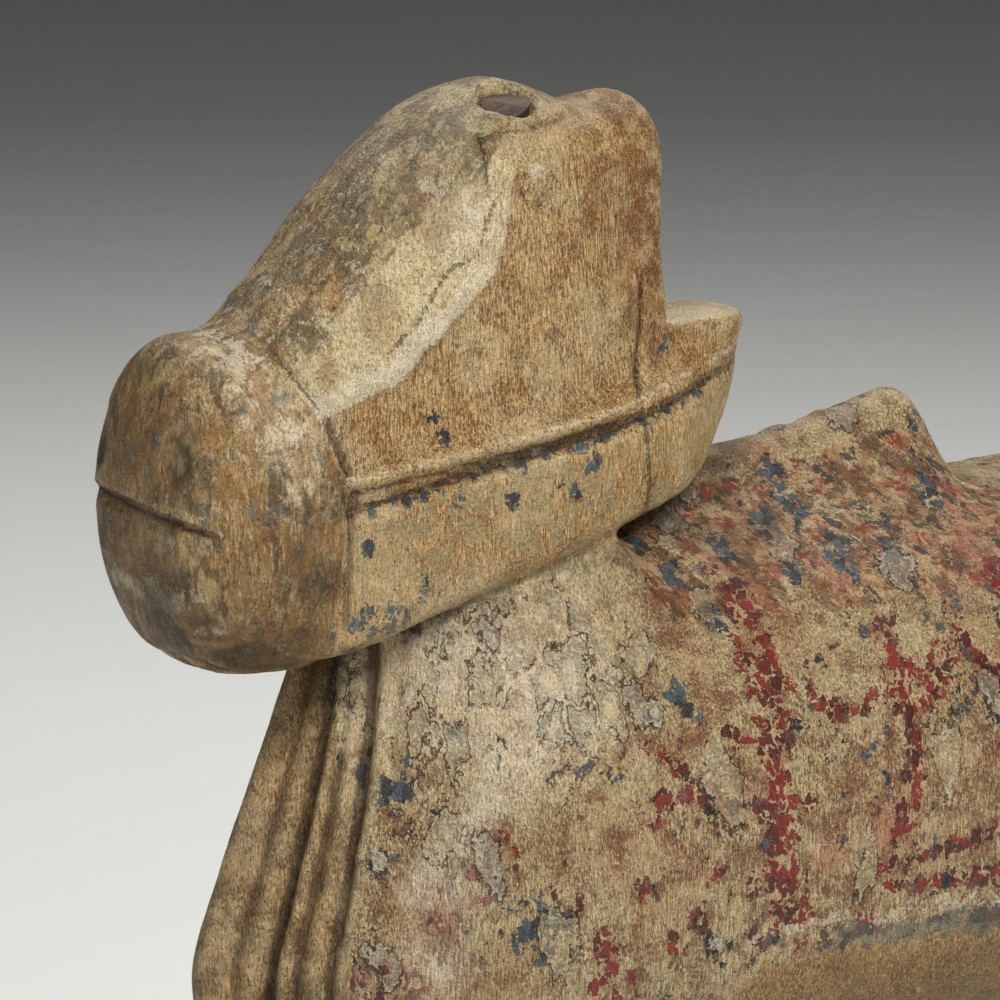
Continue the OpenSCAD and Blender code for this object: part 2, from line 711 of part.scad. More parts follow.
// Tow eye: a flat forged ring on a long shank driven into the front cross foot. It reaches
// past the wheels, so that the cord runs clear of them.
tow_face_y = front_axle_y - foot_depth/2;
tow_eye_r = tow_hole_d/2 + tow_eye_wall;
tow_clearance = 2;
eye_y = front_axle_y - wheel_d/2 - tow_hole_d/2 - tow_clearance;
shank_end_gap = 0.5;
module tow_eye() {
    // The shank starts inside the ring and ends in its hole
    shank_from = eye_y + tow_hole_d/2 + past;
    color("dimgray")
        difference() {
            union() {
                translate([0, eye_y, axle_z])
                    rotate([0, 90, 0])
                        cylinder(h = tow_eye_t, r = tow_eye_r, center = true, $fn = 32);
                translate([0, shank_from, axle_z])
                    rotate([-90, 0, 0])
                        cylinder(h = tow_face_y + tow_shank_depth - shank_from,
                            d = tow_shank_d, $fn = 16);
            }
            translate([0, eye_y, axle_z])
                rotate([0, 90, 0])
                    cylinder(h = tow_eye_t + 2*tow_shank_d, d = tow_hole_d, center = true,
                        $fn = 32);
        }
}

carved_bull();
horn_stub(LEFT);  // horn_stub_left
horn_stub(RIGHT);  // horn_stub_right
axle(FRONT);  // front_axle
axle(REAR);  // rear_axle
wheel(FRONT, LEFT);  // front_left_wheel
wheel(FRONT, RIGHT);  // front_right_wheel
wheel(REAR, LEFT);  // rear_left_wheel
wheel(REAR, RIGHT);  // rear_right_wheel
washer(FRONT, LEFT, inner_washer_x);  // front_left_inner_washer
washer(FRONT, RIGHT, inner_washer_x);  // front_right_inner_washer
washer(REAR, LEFT, inner_washer_x);  // rear_left_inner_washer
washer(REAR, RIGHT, inner_washer_x);  // rear_right_inner_washer
washer(FRONT, LEFT, outer_washer_x);  // front_left_outer_washer
washer(FRONT, RIGHT, outer_washer_x);  // front_right_outer_washer
washer(REAR, LEFT, outer_washer_x);  // rear_left_outer_washer
washer(REAR, RIGHT, outer_washer_x);  // rear_right_outer_washer
linchpin(FRONT, LEFT);  // front_left_linchpin
linchpin(FRONT, RIGHT);  // front_right_linchpin
linchpin(REAR, LEFT);  // rear_left_linchpin
linchpin(REAR, RIGHT);  // rear_right_linchpin
tow_eye();
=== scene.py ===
# %% [markdown]
# # A carved toy bull, dressed over its CAD frame
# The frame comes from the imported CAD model. It gives the bodies, the joints and the box that
# nothing here may leave. Everything below adds what CAD left out: the carver's surface, the
# old paint, the rust and the light.

# %% The frame
import math
from functools import reduce
from itertools import product
from types import SimpleNamespace
import bpy
import numpy as np
from mathutils import Matrix, Vector


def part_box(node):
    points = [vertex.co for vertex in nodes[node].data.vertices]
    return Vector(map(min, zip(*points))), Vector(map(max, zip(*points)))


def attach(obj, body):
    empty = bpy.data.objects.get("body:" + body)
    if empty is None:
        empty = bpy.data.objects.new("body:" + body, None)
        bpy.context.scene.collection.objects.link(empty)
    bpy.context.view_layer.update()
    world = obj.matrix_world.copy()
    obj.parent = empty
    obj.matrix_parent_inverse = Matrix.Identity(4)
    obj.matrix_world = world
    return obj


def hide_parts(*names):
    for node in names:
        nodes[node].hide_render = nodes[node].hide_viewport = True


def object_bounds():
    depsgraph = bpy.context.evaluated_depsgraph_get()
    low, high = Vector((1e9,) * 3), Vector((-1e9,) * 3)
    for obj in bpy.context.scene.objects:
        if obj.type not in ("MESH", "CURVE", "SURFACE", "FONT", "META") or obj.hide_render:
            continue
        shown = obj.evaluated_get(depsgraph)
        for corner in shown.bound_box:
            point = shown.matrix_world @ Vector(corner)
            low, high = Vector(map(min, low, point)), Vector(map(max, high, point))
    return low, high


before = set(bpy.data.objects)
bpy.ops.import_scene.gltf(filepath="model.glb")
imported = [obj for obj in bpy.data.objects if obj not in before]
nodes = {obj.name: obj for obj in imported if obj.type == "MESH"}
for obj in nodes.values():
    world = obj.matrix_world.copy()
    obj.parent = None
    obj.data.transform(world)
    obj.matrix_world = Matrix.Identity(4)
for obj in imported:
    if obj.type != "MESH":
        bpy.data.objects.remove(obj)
cad_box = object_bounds()
MM = 0.001

# %% [markdown]
# ## Camera
# The photograph looks at the left side of the head from a little in front and above, with a
# long lens. The camera is placed on a sphere round a point in the neck, which keeps the angle
# and the framing apart: the angle moves the camera, and the lens sets how much is in view.

# %% Camera
VIEW_TURN = math.radians(59.0)
VIEW_RISE = math.radians(12.5)
VIEW_FROM = 1.150
VIEW_AT = Vector((0.0, -0.1285, 0.255))
VIEW_WIDTH = 0.235
SENSOR = 36.0


def back_vector(turn, rise):
    """From the point looked at towards a camera or lamp at this turn and rise."""
    return Vector((math.sin(turn)*math.cos(rise), -math.cos(turn)*math.cos(rise),
                   math.sin(rise)))


def place_camera():
    back = back_vector(VIEW_TURN, VIEW_RISE)
    right = Vector((math.cos(VIEW_TURN), math.sin(VIEW_TURN), 0.0))
    turn = Matrix((right, back.cross(right), back)).transposed().to_4x4()
    turn.translation = VIEW_AT + back*VIEW_FROM
    data = bpy.data.cameras.new("camera")
    data.sensor_width = SENSOR
    data.lens = SENSOR*VIEW_FROM/VIEW_WIDTH
    camera = bpy.data.objects.new("camera", data)
    bpy.context.scene.collection.objects.link(camera)
    camera.matrix_world = turn
    bpy.context.scene.camera = camera
    return camera


print("camera lens:", round(place_camera().data.lens, 1), "mm")

# %% [markdown]
# ## Curves through a few stations
# The carving has no straight lines, so its outline is kept as short tables: a place along the
# bull and what is there. A curve that runs on smoothly through each station turns a table
# into a form, the way a carver works from a few checked widths. Length, height and axles
# come from the frame, and the other main sizes repeat those of the CAD source.

# %% Tables and curves
def frame_box(node):
    """The lowest and highest corner of a CAD node, in millimetres."""
    return [np.array(corner)/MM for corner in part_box(node)]


block_low, block_high = frame_box("carved_bull")
NOSE_Y, TOP_Z = float(round(block_low[1])), float(round(block_high[2]))
TAIL_Y = -NOSE_Y
axles = {end: sum(frame_box(f"{end}_axle"))/2 for end in ("front", "rear")}
AXLES_Y = {end: round(middle[1], 1) for end, middle in axles.items()}
AXLE_Z = round(axles["front"][2], 1)
HEAD_LONG, HEAD_HIGH = 162.0, 131.0
CHIN_Z = TOP_Z - HEAD_HIGH
HALF_JAW = 31.5
HALF_BROW, HALF_CREST = 22.0, 13.5
HALF_BODY, HALF_CHEST = 67.0, 56.0
BACK_Z, BELLY_Z = 246.0, 114.0
LEG_X = 34.0
# Half sizes of a leg, across and along, and of a cross foot, across, along and up
HALF_LEG = (15, 18)
HALF_FOOT = (51, 20, 17)


def eased(table, place):
    rows = [(row[0], np.asarray(row[1], float)) for row in table]
    last = len(rows) - 1
    i = max([0] + [k for k in range(last) if rows[k][0] <= place])

    def slope(k):
        low, high = max(k - 1, 0), min(k + 1, last)
        return (rows[high][1] - rows[low][1])/(rows[high][0] - rows[low][0])

    span = rows[i + 1][0] - rows[i][0]
    t = (place - rows[i][0])/span
    return ((2*t**3 - 3*t*t + 1)*rows[i][1] + (t**3 - 2*t*t + t)*slope(i)*span
            + (3*t*t - 2*t**3)*rows[i + 1][1] + (t**3 - t*t)*slope(i + 1)*span)


def mixed(a, b, share):
    return a + (b - a)*share


def both_sides(half):
    half = np.array(half, float)
    return np.concatenate([half, half[::-1]*[-1, 1, 1]])


def curve_through(points, steps, closed):
    """Points on a smooth curve through the given ones, along the first axis."""
    count = len(points)
    spans = count if closed else count - 1
    at = [np.arange(spans) + k for k in (-1, 0, 1, 2)]
    a, b, c, d = [points[k % count if closed else np.clip(k, 0, count - 1)] for k in at]
    rows = []
    for t in np.arange(steps)/steps:
        rows.append(((-t**3 + 2*t*t - t)*a + (3*t**3 - 5*t*t + 2)*b
                     + (-3*t**3 + 4*t*t + t)*c + (t**3 - t*t)*d)/2)
    result = np.stack(rows, 1).reshape((spans*steps,) + points.shape[1:])
    return result if closed else np.concatenate([result, points[-1:]])


def add_form(rings, around=4, along=3):
    """A closed form from rings in millimetres, with so many faces from point to point."""
    rings = curve_through(np.array(rings, float), along, closed=False)
    rings = curve_through(rings.transpose(1, 0, 2), around, closed=True).transpose(1, 0, 2)
    rows, count = rings.shape[:2]
    ends = [rings[0].mean(0), rings[-1].mean(0)]
    points = np.concatenate([rings.reshape(-1, 3), ends])*MM
    i = np.arange((rows - 1)*count)
    step = i - i % count + (i + 1) % count
    faces = np.stack([i, step, step + count, i + count], 1).tolist()
    j = np.arange(count)
    after, end = (j + 1) % count, (rows - 1)*count
    faces += np.stack([after, j, np.full(count, rows*count)], 1).tolist()
    faces += np.stack([end + j, end + after, np.full(count, rows*count + 1)], 1).tolist()
    mesh = bpy.data.meshes.new("form")
    mesh.from_pydata(points.tolist(), [], faces)
    form = bpy.data.objects.new("form", mesh)
    bpy.context.scene.collection.objects.link(form)
    return form


print("nose", NOSE_Y, "tail", TAIL_Y, "top", TOP_Z, "axles", AXLES_Y, "at", AXLE_Z)

# %% [markdown]
# ## The head
# The head is a wedge: a narrow brow over a wide jaw, with a sloping bridge, a saddle behind
# the horns and a crest that is sawn off square. Each ring of the form is one upright section
# across the head. A painted groove runs along the jaw under a raised ridge, and both are
# points of that section, so they keep their line from the muzzle to the back.

# %% Head
# Place as a share of the head's length, height as a share of its height
HEAD_TOP = [
    [0.10, 0.54], [0.14, 0.59], [0.25, 0.715], [0.34, 0.835], [0.43, 0.925], [0.51, 0.98],
    [0.58, 1.0], [0.64, 0.98], [0.70, 0.95], [0.76, 0.96], [0.80, 0.96], [0.83, 0.925]]
HEAD_KEEL = [
    [0.10, 0.055], [0.16, 0.03], [0.28, 0.045], [0.40, 0.09], [0.54, 0.14], [0.72, 0.20],
    [0.85, 0.24], [1.0, 0.30]]
JAW_GROOVE = [[0.10, 0.285], [0.24, 0.305], [0.50, 0.36], [0.75, 0.405], [0.95, 0.45], [1.0, 0.46]]
JAW_RIDGE = [[0.10, 0.33], [0.24, 0.355], [0.50, 0.395], [0.75, 0.435], [1.0, 0.49]]
# Place, then half widths as shares of half the jaw: low, ridge, and three up to the brow
HEAD_HALF_WIDTHS = [
    [0.10, [0.66, 0.88, 0.84, 0.76, 0.42]], [0.16, [0.78, 0.90, 0.86, 0.80, 0.46]],
    [0.24, [0.93, 0.94, 0.88, 0.84, 0.52]], [0.40, [1.00, 0.98, 0.86, 0.83, 0.61]],
    [0.58, [1.00, 0.98, 0.83, 0.78, 0.68]], [0.70, [0.94, 0.92, 0.74, 0.64, 0.54]],
    [0.79, [0.82, 0.80, 0.61, 0.51, 0.43]], [0.83, [0.74, 0.72, 0.50, 0.43, 0.40]]]
SIDE_HEIGHTS = [0.07, 0.15, 0.25, 0.36, 0.47, 0.58, 0.69, 0.79, 0.87]


def head_y(share):
    return NOSE_Y + share*HEAD_LONG


def head_z(share):
    return CHIN_Z + share*HEAD_HIGH


def brow_half(share, half):
    if share < 0.45:
        return min(half, HALF_BROW)
    own = mixed(HALF_BROW, HALF_CREST, min(max((share - 0.55)/0.27, 0), 1))
    return mixed(half, own, 0.8)


def head_ring(share):
    y = head_y(share)
    keel, top, groove, ridge = [head_z(float(eased(table, share)))
                                for table in (HEAD_KEEL, HEAD_TOP, JAW_GROOVE, JAW_RIDGE)]
    w = eased(HEAD_HALF_WIDTHS, share)*HALF_JAW
    brow, upper = brow_half(share, w[4]), top - ridge
    side = [[0, w[1]], [0.09, w[2]*1.02], [0.22, w[2]], [0.46, w[3]],
            [0.68, mixed(w[3], brow, 0.5)], [0.86, brow], [1, brow*0.66]]
    half = [[w[0]*0.3, y, keel], [w[0]*0.72, y, keel + 0.4], [w[0]*0.94, y, keel + 3],
            [w[0], y, keel + 9], [w[0]*1.01, y, mixed(keel, groove, 0.75)],
            [w[0]*0.995, y, groove - 1.8], [w[1]*0.965, y, groove],
            [w[1]*0.985, y, groove + 2], [w[1], y, ridge]]
    half += [[float(eased(side, h)), y, ridge + upper*h] for h in SIDE_HEIGHTS]
    half += [[brow*0.82, y, top - upper*0.055], [brow*0.5, y, top - upper*0.014],
             [brow*0.18, y, top]]
    return both_sides(half)


LOBE_TOP = 0.55
LOBE_KEEL = [[0.68, 0.20], [0.80, 0.235], [0.86, 0.26], [0.91, 0.31], [0.96, 0.38], [1.0, 0.45]]
# Place, then half widths below and on top
LOBE_HALF_WIDTHS = [
    [0.68, [0.86, 0.54]], [0.78, [0.85, 0.46]], [0.83, [0.77, 0.43]], [0.88, [0.60, 0.41]],
    [0.94, [0.38, 0.37]], [0.98, [0.22, 0.28]], [1.0, [0.08, 0.12]]]


def lobe_ring(share):
    y = head_y(share)
    keel, groove = head_z(float(eased(LOBE_KEEL, share))), head_z(float(eased(JAW_GROOVE, share)))
    top = head_z(LOBE_TOP)
    w = eased(LOBE_HALF_WIDTHS, share)*HALF_JAW
    return both_sides([
        [w[0]*0.3, y, keel], [w[0]*0.75, y, keel], [w[0]*0.97, y, keel + 2],
        [w[0], y, mixed(keel, groove, 0.5)], [w[0]*0.96, y, groove - 1.4],
        [w[0]*0.90, y, groove], [mixed(w[0], w[1], 0.25), y, groove + 2],
        [mixed(w[0], w[1], 0.62), y, mixed(groove, top, 0.45)],
        [w[1] + 1, y, mixed(groove, top, 0.8)], [w[1], y, top - 0.8], [w[1]*0.9, y, top]])


MUZZLE_DEEP, MUZZLE_WIDE, MUZZLE_HIGH = 41.0, 60.0, 79.0
MUZZLE_Z = CHIN_Z + MUZZLE_HIGH/2
# Share of the muzzle's depth, share of its full section
MUZZLE_SWELL = [
    [0, 0.22], [0, 0.52], [0.02, 0.69], [0.07, 0.82], [0.17, 0.915], [0.34, 0.975], [0.60, 1.0],
    [0.86, 1.0], [0.95, 0.985], [1.0, 0.94]]


def turns(count, shift=0.0):
    """Angles all the way round a section."""
    return [math.radians(360*(i + shift)/count) for i in range(count)]


def squared(angle, half, squareness, wave):
    value = wave(angle)
    return half*math.copysign(abs(value)**(2/squareness), value)


def muzzle_ring(depth, scale):
    ring = []
    for angle in turns(32, -8):
        upper = math.sin(angle) > 0
        back = MUZZLE_DEEP*(1 - 0.44*math.sin(angle)**2 if upper else 1)
        form = 2.15 if upper else 2.9
        out = squared(angle, scale, form, math.cos)
        rise = squared(angle, scale, form, math.sin)
        recess = (6.0 if upper else 7.0)*rise*rise + 3.0*out*out
        ring.append([out*MUZZLE_WIDE/2, NOSE_Y + recess*(1 - depth) + back*depth,
                     MUZZLE_Z + rise*MUZZLE_HIGH/2])
    return ring


forms = [add_form([head_ring(mixed(0.13, 0.825, i/30)) for i in range(31)], around=3, along=2),
         add_form([lobe_ring(s) for s in (0.68, 0.76, 0.82, 0.87, 0.91, 0.945, 0.97, 0.985, 1)]),
         add_form([muzzle_ring(*row) for row in MUZZLE_SWELL], around=3, along=3)]
print("head forms:", sum(len(form.data.polygons) for form in forms), "faces")

# %% [markdown]
# ## The neck and its pleats
# The neck is a stack of level rings that fan out in front into the pleats of the dewlap. A
# ring follows one pleat line, drawn once and widened by the ring's own fan, so that all
# grooves run on from the throat to the brisket.

# %% Neck
THROAT_Z, BRISKET_Z = CHIN_Z + 33, BELLY_Z - 14.5
# Share of the neck's height, then front from the nose, width, fan, back from the nose
NECK_LINES = [
    [0.00, [50, 0.34, 0.50, 96]], [0.08, [35, 0.62, 0.76, 114]], [0.19, [21, 0.88, 0.95, 136]],
    [0.32, [14.5, 0.99, 1.00, 156]], [0.475, [22, 0.99, 0.92, 164]],
    [0.63, [31.5, 0.88, 0.78, 160]], [0.76, [39.5, 0.71, 0.62, 146]],
    [0.86, [45, 0.56, 0.52, 126]], [1.00, [52, 0.42, 0.44, 107]]]
# Way along the section from the middle, then how far out and back it lies
PLEAT_LINE = [
    [0, [0, 0]], [3, [2.6, 0.9]], [9, [7.0, 4.8]], [18.5, [13.4, 12.0]], [34, [26.4, 20.5]],
    [44, [33.5, 27.5]]]
PLEAT_GROOVES, PLEAT_DEEP, PLEAT_WIDE = (18.5, 34.0), 3.0, 4.4


def neck_point(place, fan, front, z):
    at = eased(PLEAT_LINE, place)*fan
    sink = max(max(1 - abs(place - g)/(PLEAT_WIDE/2), 0) for g in PLEAT_GROOVES)
    sink *= PLEAT_DEEP*min(fan, 1)
    return [max(at[0] - sink*0.55, 0), front + at[1] + sink*0.85, z]


def neck_ring(share):
    z = mixed(BRISKET_Z, THROAT_Z, share)
    line = eased(NECK_LINES, share)
    front, wide, fan = NOSE_Y + line[0], HALF_CHEST*line[1], line[2]
    back = NOSE_Y + line[3]
    shoulder = min(NOSE_Y + 78, back - 30)
    corner = neck_point(44, fan, front, z)
    places = [0.8, 3.2, 7.5, 12.5, 16.3, 18.5, 20.7, 26, 31.8, 34, 36.2, 44]
    half = [neck_point(place, fan, front, z) for place in places]
    half += [[mixed(corner[0], wide, 0.45), mixed(corner[1], shoulder, 0.42), z],
             [mixed(corner[0], wide, 0.82), mixed(corner[1], shoulder, 0.78), z],
             [wide, mixed(shoulder, back, 0.12), z],
             [wide*1.03, mixed(shoulder, back, 0.5), z],
             [wide*1.02, back, z], [wide*0.3, back + 3, z]]
    return both_sides(half)


forms.append(add_form([neck_ring(i/26) for i in range(27)], around=3, along=2))
print("neck:", len(forms[-1].data.polygons), "faces")

# %% [markdown]
# ## Body and hump
# The body is a row of upright sections, flatter below than above, and the hump a thin ridge
# whose flanks ease into the back. The forms overlap freely, because a later step fuses them.

# %% Body and hump
TRUNK_FRONT, TRUNK_BACK = NOSE_Y + 58, TAIL_Y - 11
# Share of the trunk's length, then width, top and bottom
TRUNK_LINES = [
    [0.00, [0.36, 0.74, 0.20]], [0.06, [0.68, 0.85, 0.10]], [0.15, [0.84, 0.93, 0.04]],
    [0.30, [0.96, 0.98, 0.01]], [0.45, [1.00, 1.00, 0.00]], [0.62, [1.00, 1.01, 0.00]],
    [0.76, [0.98, 1.03, 0.03]], [0.87, [0.94, 1.02, 0.06]], [0.94, [0.86, 0.98, 0.10]],
    [0.98, [0.74, 0.92, 0.16]], [0.995, [0.58, 0.84, 0.24]], [1.00, [0.34, 0.72, 0.38]]]
TRUNK_PLACES = [0, 0.06, 0.13, 0.21, 0.30, 0.40, 0.50, 0.60, 0.70, 0.79, 0.87, 0.92, 0.95,
                0.975, 0.99, 0.997, 1]


def trunk_ring(share):
    line = eased(TRUNK_LINES, share)
    y, wide, deep = mixed(TRUNK_FRONT, TRUNK_BACK, share), HALF_BODY*line[0], BACK_Z - BELLY_Z
    top, low = BELLY_Z + deep*line[1], BELLY_Z + deep*line[2]
    mid = mixed(low, top, 0.46)
    ring = []
    for angle in turns(36, -9):
        upper = math.sin(angle) > 0
        ring.append([squared(angle, wide, 2.5 if upper else 3.2, math.cos), y,
                     mid + squared(angle, top - mid if upper else mid - low,
                                   2.1 if upper else 3.0, math.sin)])
    return ring


# Distance from the nose, then rise and width
HUMP_LINES = [
    [96, [0.40, 0.50]], [112, [0.46, 0.60]], [130, [0.52, 0.70]], [150, [0.58, 0.78]],
    [170, [0.67, 0.83]], [190, [0.82, 0.84]], [202, [0.94, 0.82]], [209, [1.00, 0.78]],
    [215, [0.84, 0.73]], [220, [0.48, 0.68]], [226, [0.12, 0.62]], [232, [-0.10, 0.54]]]
# Width, depth below the back, share of the rise
HUMP_FLANK = [
    [0.50, 60, 0], [0.93, 50, 0], [0.98, 40, 0], [0.93, 29, 0.01], [0.865, 22, 0.03],
    [0.775, 15.6, 0.06], [0.61, 9, 0.13], [0.44, 5.4, 0.24], [0.30, 3.4, 0.42], [0.19, 2, 0.64]]
HUMP_HIGH, HUMP_THIN = 25.0, 5.5


def hump_ring(row):
    y, rise, wide = NOSE_Y + row[0], HUMP_HIGH*row[1][0], HALF_BODY*row[1][1]
    half = [[wide*f[0], y, BACK_Z - f[1] + rise*f[2]] for f in HUMP_FLANK]
    half += [[HUMP_THIN + 0.5, y, BACK_Z + rise - 3], [HUMP_THIN*0.5, y, BACK_Z + rise]]
    return both_sides(half)


forms += [add_form([trunk_ring(s) for s in TRUNK_PLACES], around=2, along=6),
          add_form([hump_ring(row) for row in HUMP_LINES], around=3, along=5)]
print("body and hump:", sum(len(form.data.polygons) for form in forms[-2:]), "faces")

# %% [markdown]
# ## Legs, cross feet and tail
# The legs of such toys are plain posts, thicker where they leave the body, and a cross foot
# joins each pair and holds the axle. The tail lies flat against the rump, where it can't
# break off.

# %% Legs, feet and tail
# Share of the leg's height, then width, depth and shift back
LEG_LINES = {
    "front": [[0, [1.0, 1.0, 0]], [0.35, [1.0, 1.0, 0]], [0.6, [1.08, 1.12, -1]],
              [0.82, [1.14, 1.25, -3]], [0.94, [1.02, 1.1, -4]], [1, [0.8, 0.5, -5]]],
    "rear": [[0, [1.0, 1.0, 0]], [0.25, [1.0, 0.96, 3]], [0.45, [1.14, 1.25, 4]],
             [0.72, [1.56, 2.0, 0]], [0.9, [1.46, 1.7, -3]], [1, [0.9, 0.8, -6]]]}
LEG_TOP_Z = {"front": BELLY_Z + 52, "rear": BELLY_Z + 74}


def leg_ring(end, side, share):
    line = eased(LEG_LINES[end], share)
    ring = []
    for angle in turns(20):
        ring.append([side*LEG_X + squared(angle, HALF_LEG[0]*line[0], 3, math.cos),
                     AXLES_Y[end] + line[2] + squared(angle, HALF_LEG[1]*line[1], 3, math.sin),
                     mixed(AXLE_Z, LEG_TOP_Z[end], share)])
    return ring


def foot_ring(end, share):
    long, deep, high = HALF_FOOT
    ring = []
    for angle in turns(28, 0.5):
        ring.append([mixed(-long, long, share), AXLES_Y[end] + squared(angle, deep, 6, math.cos),
                     AXLE_Z + squared(angle, high, 6, math.sin)])
    return ring


# Share of the tail's length, then half width and its two distances from the tail's back
TAIL_LINES = [
    [0, [5, 34, 14]], [0.12, [6, 30, 6]], [0.35, [5.5, 26, 1.5]], [0.6, [5, 26, 1.5]],
    [0.75, [7.5, 26, 0]], [0.9, [7, 26, 1]], [1, [3, 24, 7]]]


def tail_ring(share):
    line = eased(TAIL_LINES, share)
    half = (line[1] - line[2])/2
    return [[line[0]*math.cos(a), TAIL_Y - line[2] - half + half*math.sin(a),
             mixed(BACK_Z - 8, BELLY_Z + 34, share)]
            for a in np.radians(30*np.arange(12))]


forms.append(add_form([tail_ring(i/10) for i in range(11)], around=2, along=2))
for end in ("front", "rear"):
    forms.append(add_form([foot_ring(end, i/4) for i in range(5)], around=1, along=1))
    forms += [add_form([leg_ring(end, side, i/9) for i in range(10)], around=2, along=3)
              for side in (1, -1)]
print("all forms:", len(forms))

# %% [markdown]
# ## One block of wood
# The real bull is one block, so its forms must become one skin. A voxel remesh does what a
# boolean would, and it leaves even faces, which are what a sculpt needs: every point can then
# be moved on its own. The size of a voxel is the size of the smallest cut that can be made.

# %% Fuse the forms
VOXEL = 1.25*MM


def fused(pieces, name):
    bpy.ops.object.select_all(action="DESELECT")
    for piece in pieces:
        piece.select_set(True)
    bpy.context.view_layer.objects.active = pieces[0]
    bpy.ops.object.join()
    rough = bpy.context.object
    remesh = rough.modifiers.new("remesh", "REMESH")
    remesh.mode = "VOXEL"
    remesh.voxel_size = VOXEL
    whole = rough.evaluated_get(bpy.context.evaluated_depsgraph_get())
    mesh = bpy.data.meshes.new_from_object(whole)
    bpy.data.objects.remove(rough)
    block = bpy.data.objects.new(name, mesh)
    bpy.context.scene.collection.objects.link(block)
    return block


bull = fused(forms, "bull_carving")
print("block:", len(bull.data.vertices), "points")

# %% [markdown]
# ## Sculpting with numbers
# All points of the block are read into one array, in millimetres. A cut is then a soft mask
# times a depth, along each point's normal.

# %% Sculpting tools
def read_points(mesh):
    flat = np.empty(len(mesh.vertices)*3, np.float32)
    mesh.vertices.foreach_get("co", flat)
    return flat.reshape(-1, 3).astype(float)/MM


def write_points(mesh, points):
    mesh.vertices.foreach_set("co", (points*MM).astype(np.float32).ravel())
    mesh.update()


def normals_of(mesh):
    flat = np.empty(len(mesh.vertices)*3, np.float32)
    mesh.vertex_normals.foreach_get("vector", flat)
    return flat.reshape(-1, 3).astype(float)


def edges_of(mesh):
    flat = np.empty(len(mesh.edges)*2, np.int32)
    mesh.edges.foreach_get("vertices", flat)
    return flat.reshape(-1, 2)


def relaxed(values, edges, share, rounds):
    """Values moved towards the mean of their neighbours, by a share at each point."""
    count = len(values)
    degree = np.bincount(edges.ravel(), minlength=count).astype(float)
    share = share if np.ndim(share) == 0 else share[:, None]
    for _ in range(rounds):
        total = np.stack([np.bincount(edges[:, 0], values[edges[:, 1], k], count)
                          + np.bincount(edges[:, 1], values[edges[:, 0], k], count)
                          for k in range(values.shape[1])], 1)
        values = values + (total/degree[:, None] - values)*share
    return values


points = read_points(bull.data)
edges = edges_of(bull.data)
print("low and high corners:", points.min(0).round(1), points.max(0).round(1))

# %% [markdown]
# ## Chance, edges and lines
# Wear is irregular, but the same on each run. Chance comes from a fixed hash of a point's
# place, and swells, cells and distances from a drawn line are all made from a few sums.

# %% Chance, edges and lines
SEED = {"flats": 11, "grain": 21, "plates": 31, "torn_edge": 41, "large": 51, "middle": 61}


def soft(low, high, value):
    t = np.clip((value - low)/(high - low), 0, 1)
    return t*t*(3 - 2*t)


def band(offset, far, near):
    """1 on a line, and gone at a distance from it."""
    return soft(far, near, np.abs(offset))


def chance(i, j, k, seed):
    h = (i*73856093) ^ (j*19349663) ^ (k*83492791) ^ (seed*2654435761)
    h = (h & 0xffffffff)*1274126177 & 0xffffffff
    h = (h ^ (h >> 15))*2246822519 & 0xffffffff
    return ((h ^ (h >> 13)) & 0xffff)/65535.0


def drift(points, size, seed):
    """Smooth chance from 0 to 1, about one swell for each size."""
    at = points/size
    low = np.floor(at).astype(np.int64)
    t = at - low
    t = t*t*(3 - 2*t)
    total = 0
    for corner in product((0, 1), repeat=3):
        share = 1
        for k, far in enumerate(corner):
            share = share*(t[:, k] if far else 1 - t[:, k])
        total = total + share*chance(*(low + corner).T, seed)
    return total


def swells(points, size, seed, octaves=3):
    total, weight = 0, 0
    for k in range(octaves):
        total = total + drift(points, size/2**k, seed + k)/2**k
        weight += 1/2**k
    return total/weight


def plates(points, size, seed):
    """Depth inside a cell of about the size, from its edge, and the cell's own chance."""
    at = points/size
    low = np.floor(at).astype(np.int64)
    near = np.full(len(points), 9.0)
    second = np.full(len(points), 9.0)
    own = np.zeros(len(points))
    for step in product((-1, 0, 1), repeat=3):
        cell = (low + step).T
        seat = np.stack([cell[n] + chance(*cell, seed + n) for n in range(3)], 1)
        gap = np.linalg.norm(at - seat, axis=1)
        closer = gap < near
        second = np.where(closer, near, np.minimum(second, gap))
        own = np.where(closer, chance(*cell, seed + 3), own)
        near = np.where(closer, gap, near)
    return (second - near)*size/2, own


def off_line(y, z, stops):
    """Distance from a broken line in the side view."""
    nearest = np.full(len(y), 1e9)
    for (y0, z0), (y1, z1) in zip(stops[:-1], stops[1:]):
        long = max((y1 - y0)**2 + (z1 - z0)**2, 1e-9)
        t = np.clip(((y - y0)*(y1 - y0) + (z - z0)*(z1 - z0))/long, 0, 1)
        nearest = np.minimum(nearest, np.hypot(y - y0 - t*(y1 - y0), z - z0 - t*(z1 - z0)))
    return nearest


print("sample of chance:", swells(points[:3], 12, SEED["flats"]).round(2))

# %% [markdown]
# ## Where is what
# Paint, dirt and cuts follow the parts of the animal, so each part gets a soft mask. The
# lines come from the same tables as the forms. A number beside y or z is a place in
# millimetres in the side view: y runs from nose to tail, z up from the floor.

# %% Parts of the animal
PLATE_EDGE = [(-190, 285), (-171, 294), (-157, 305), (-147, 313), (-141, 322), (-139, 336)]


def along_y(points, table, to_z):
    places = np.array([head_y(row[0]) for row in table])
    return np.interp(points[:, 1], places, [to_z(row[1]) for row in table])


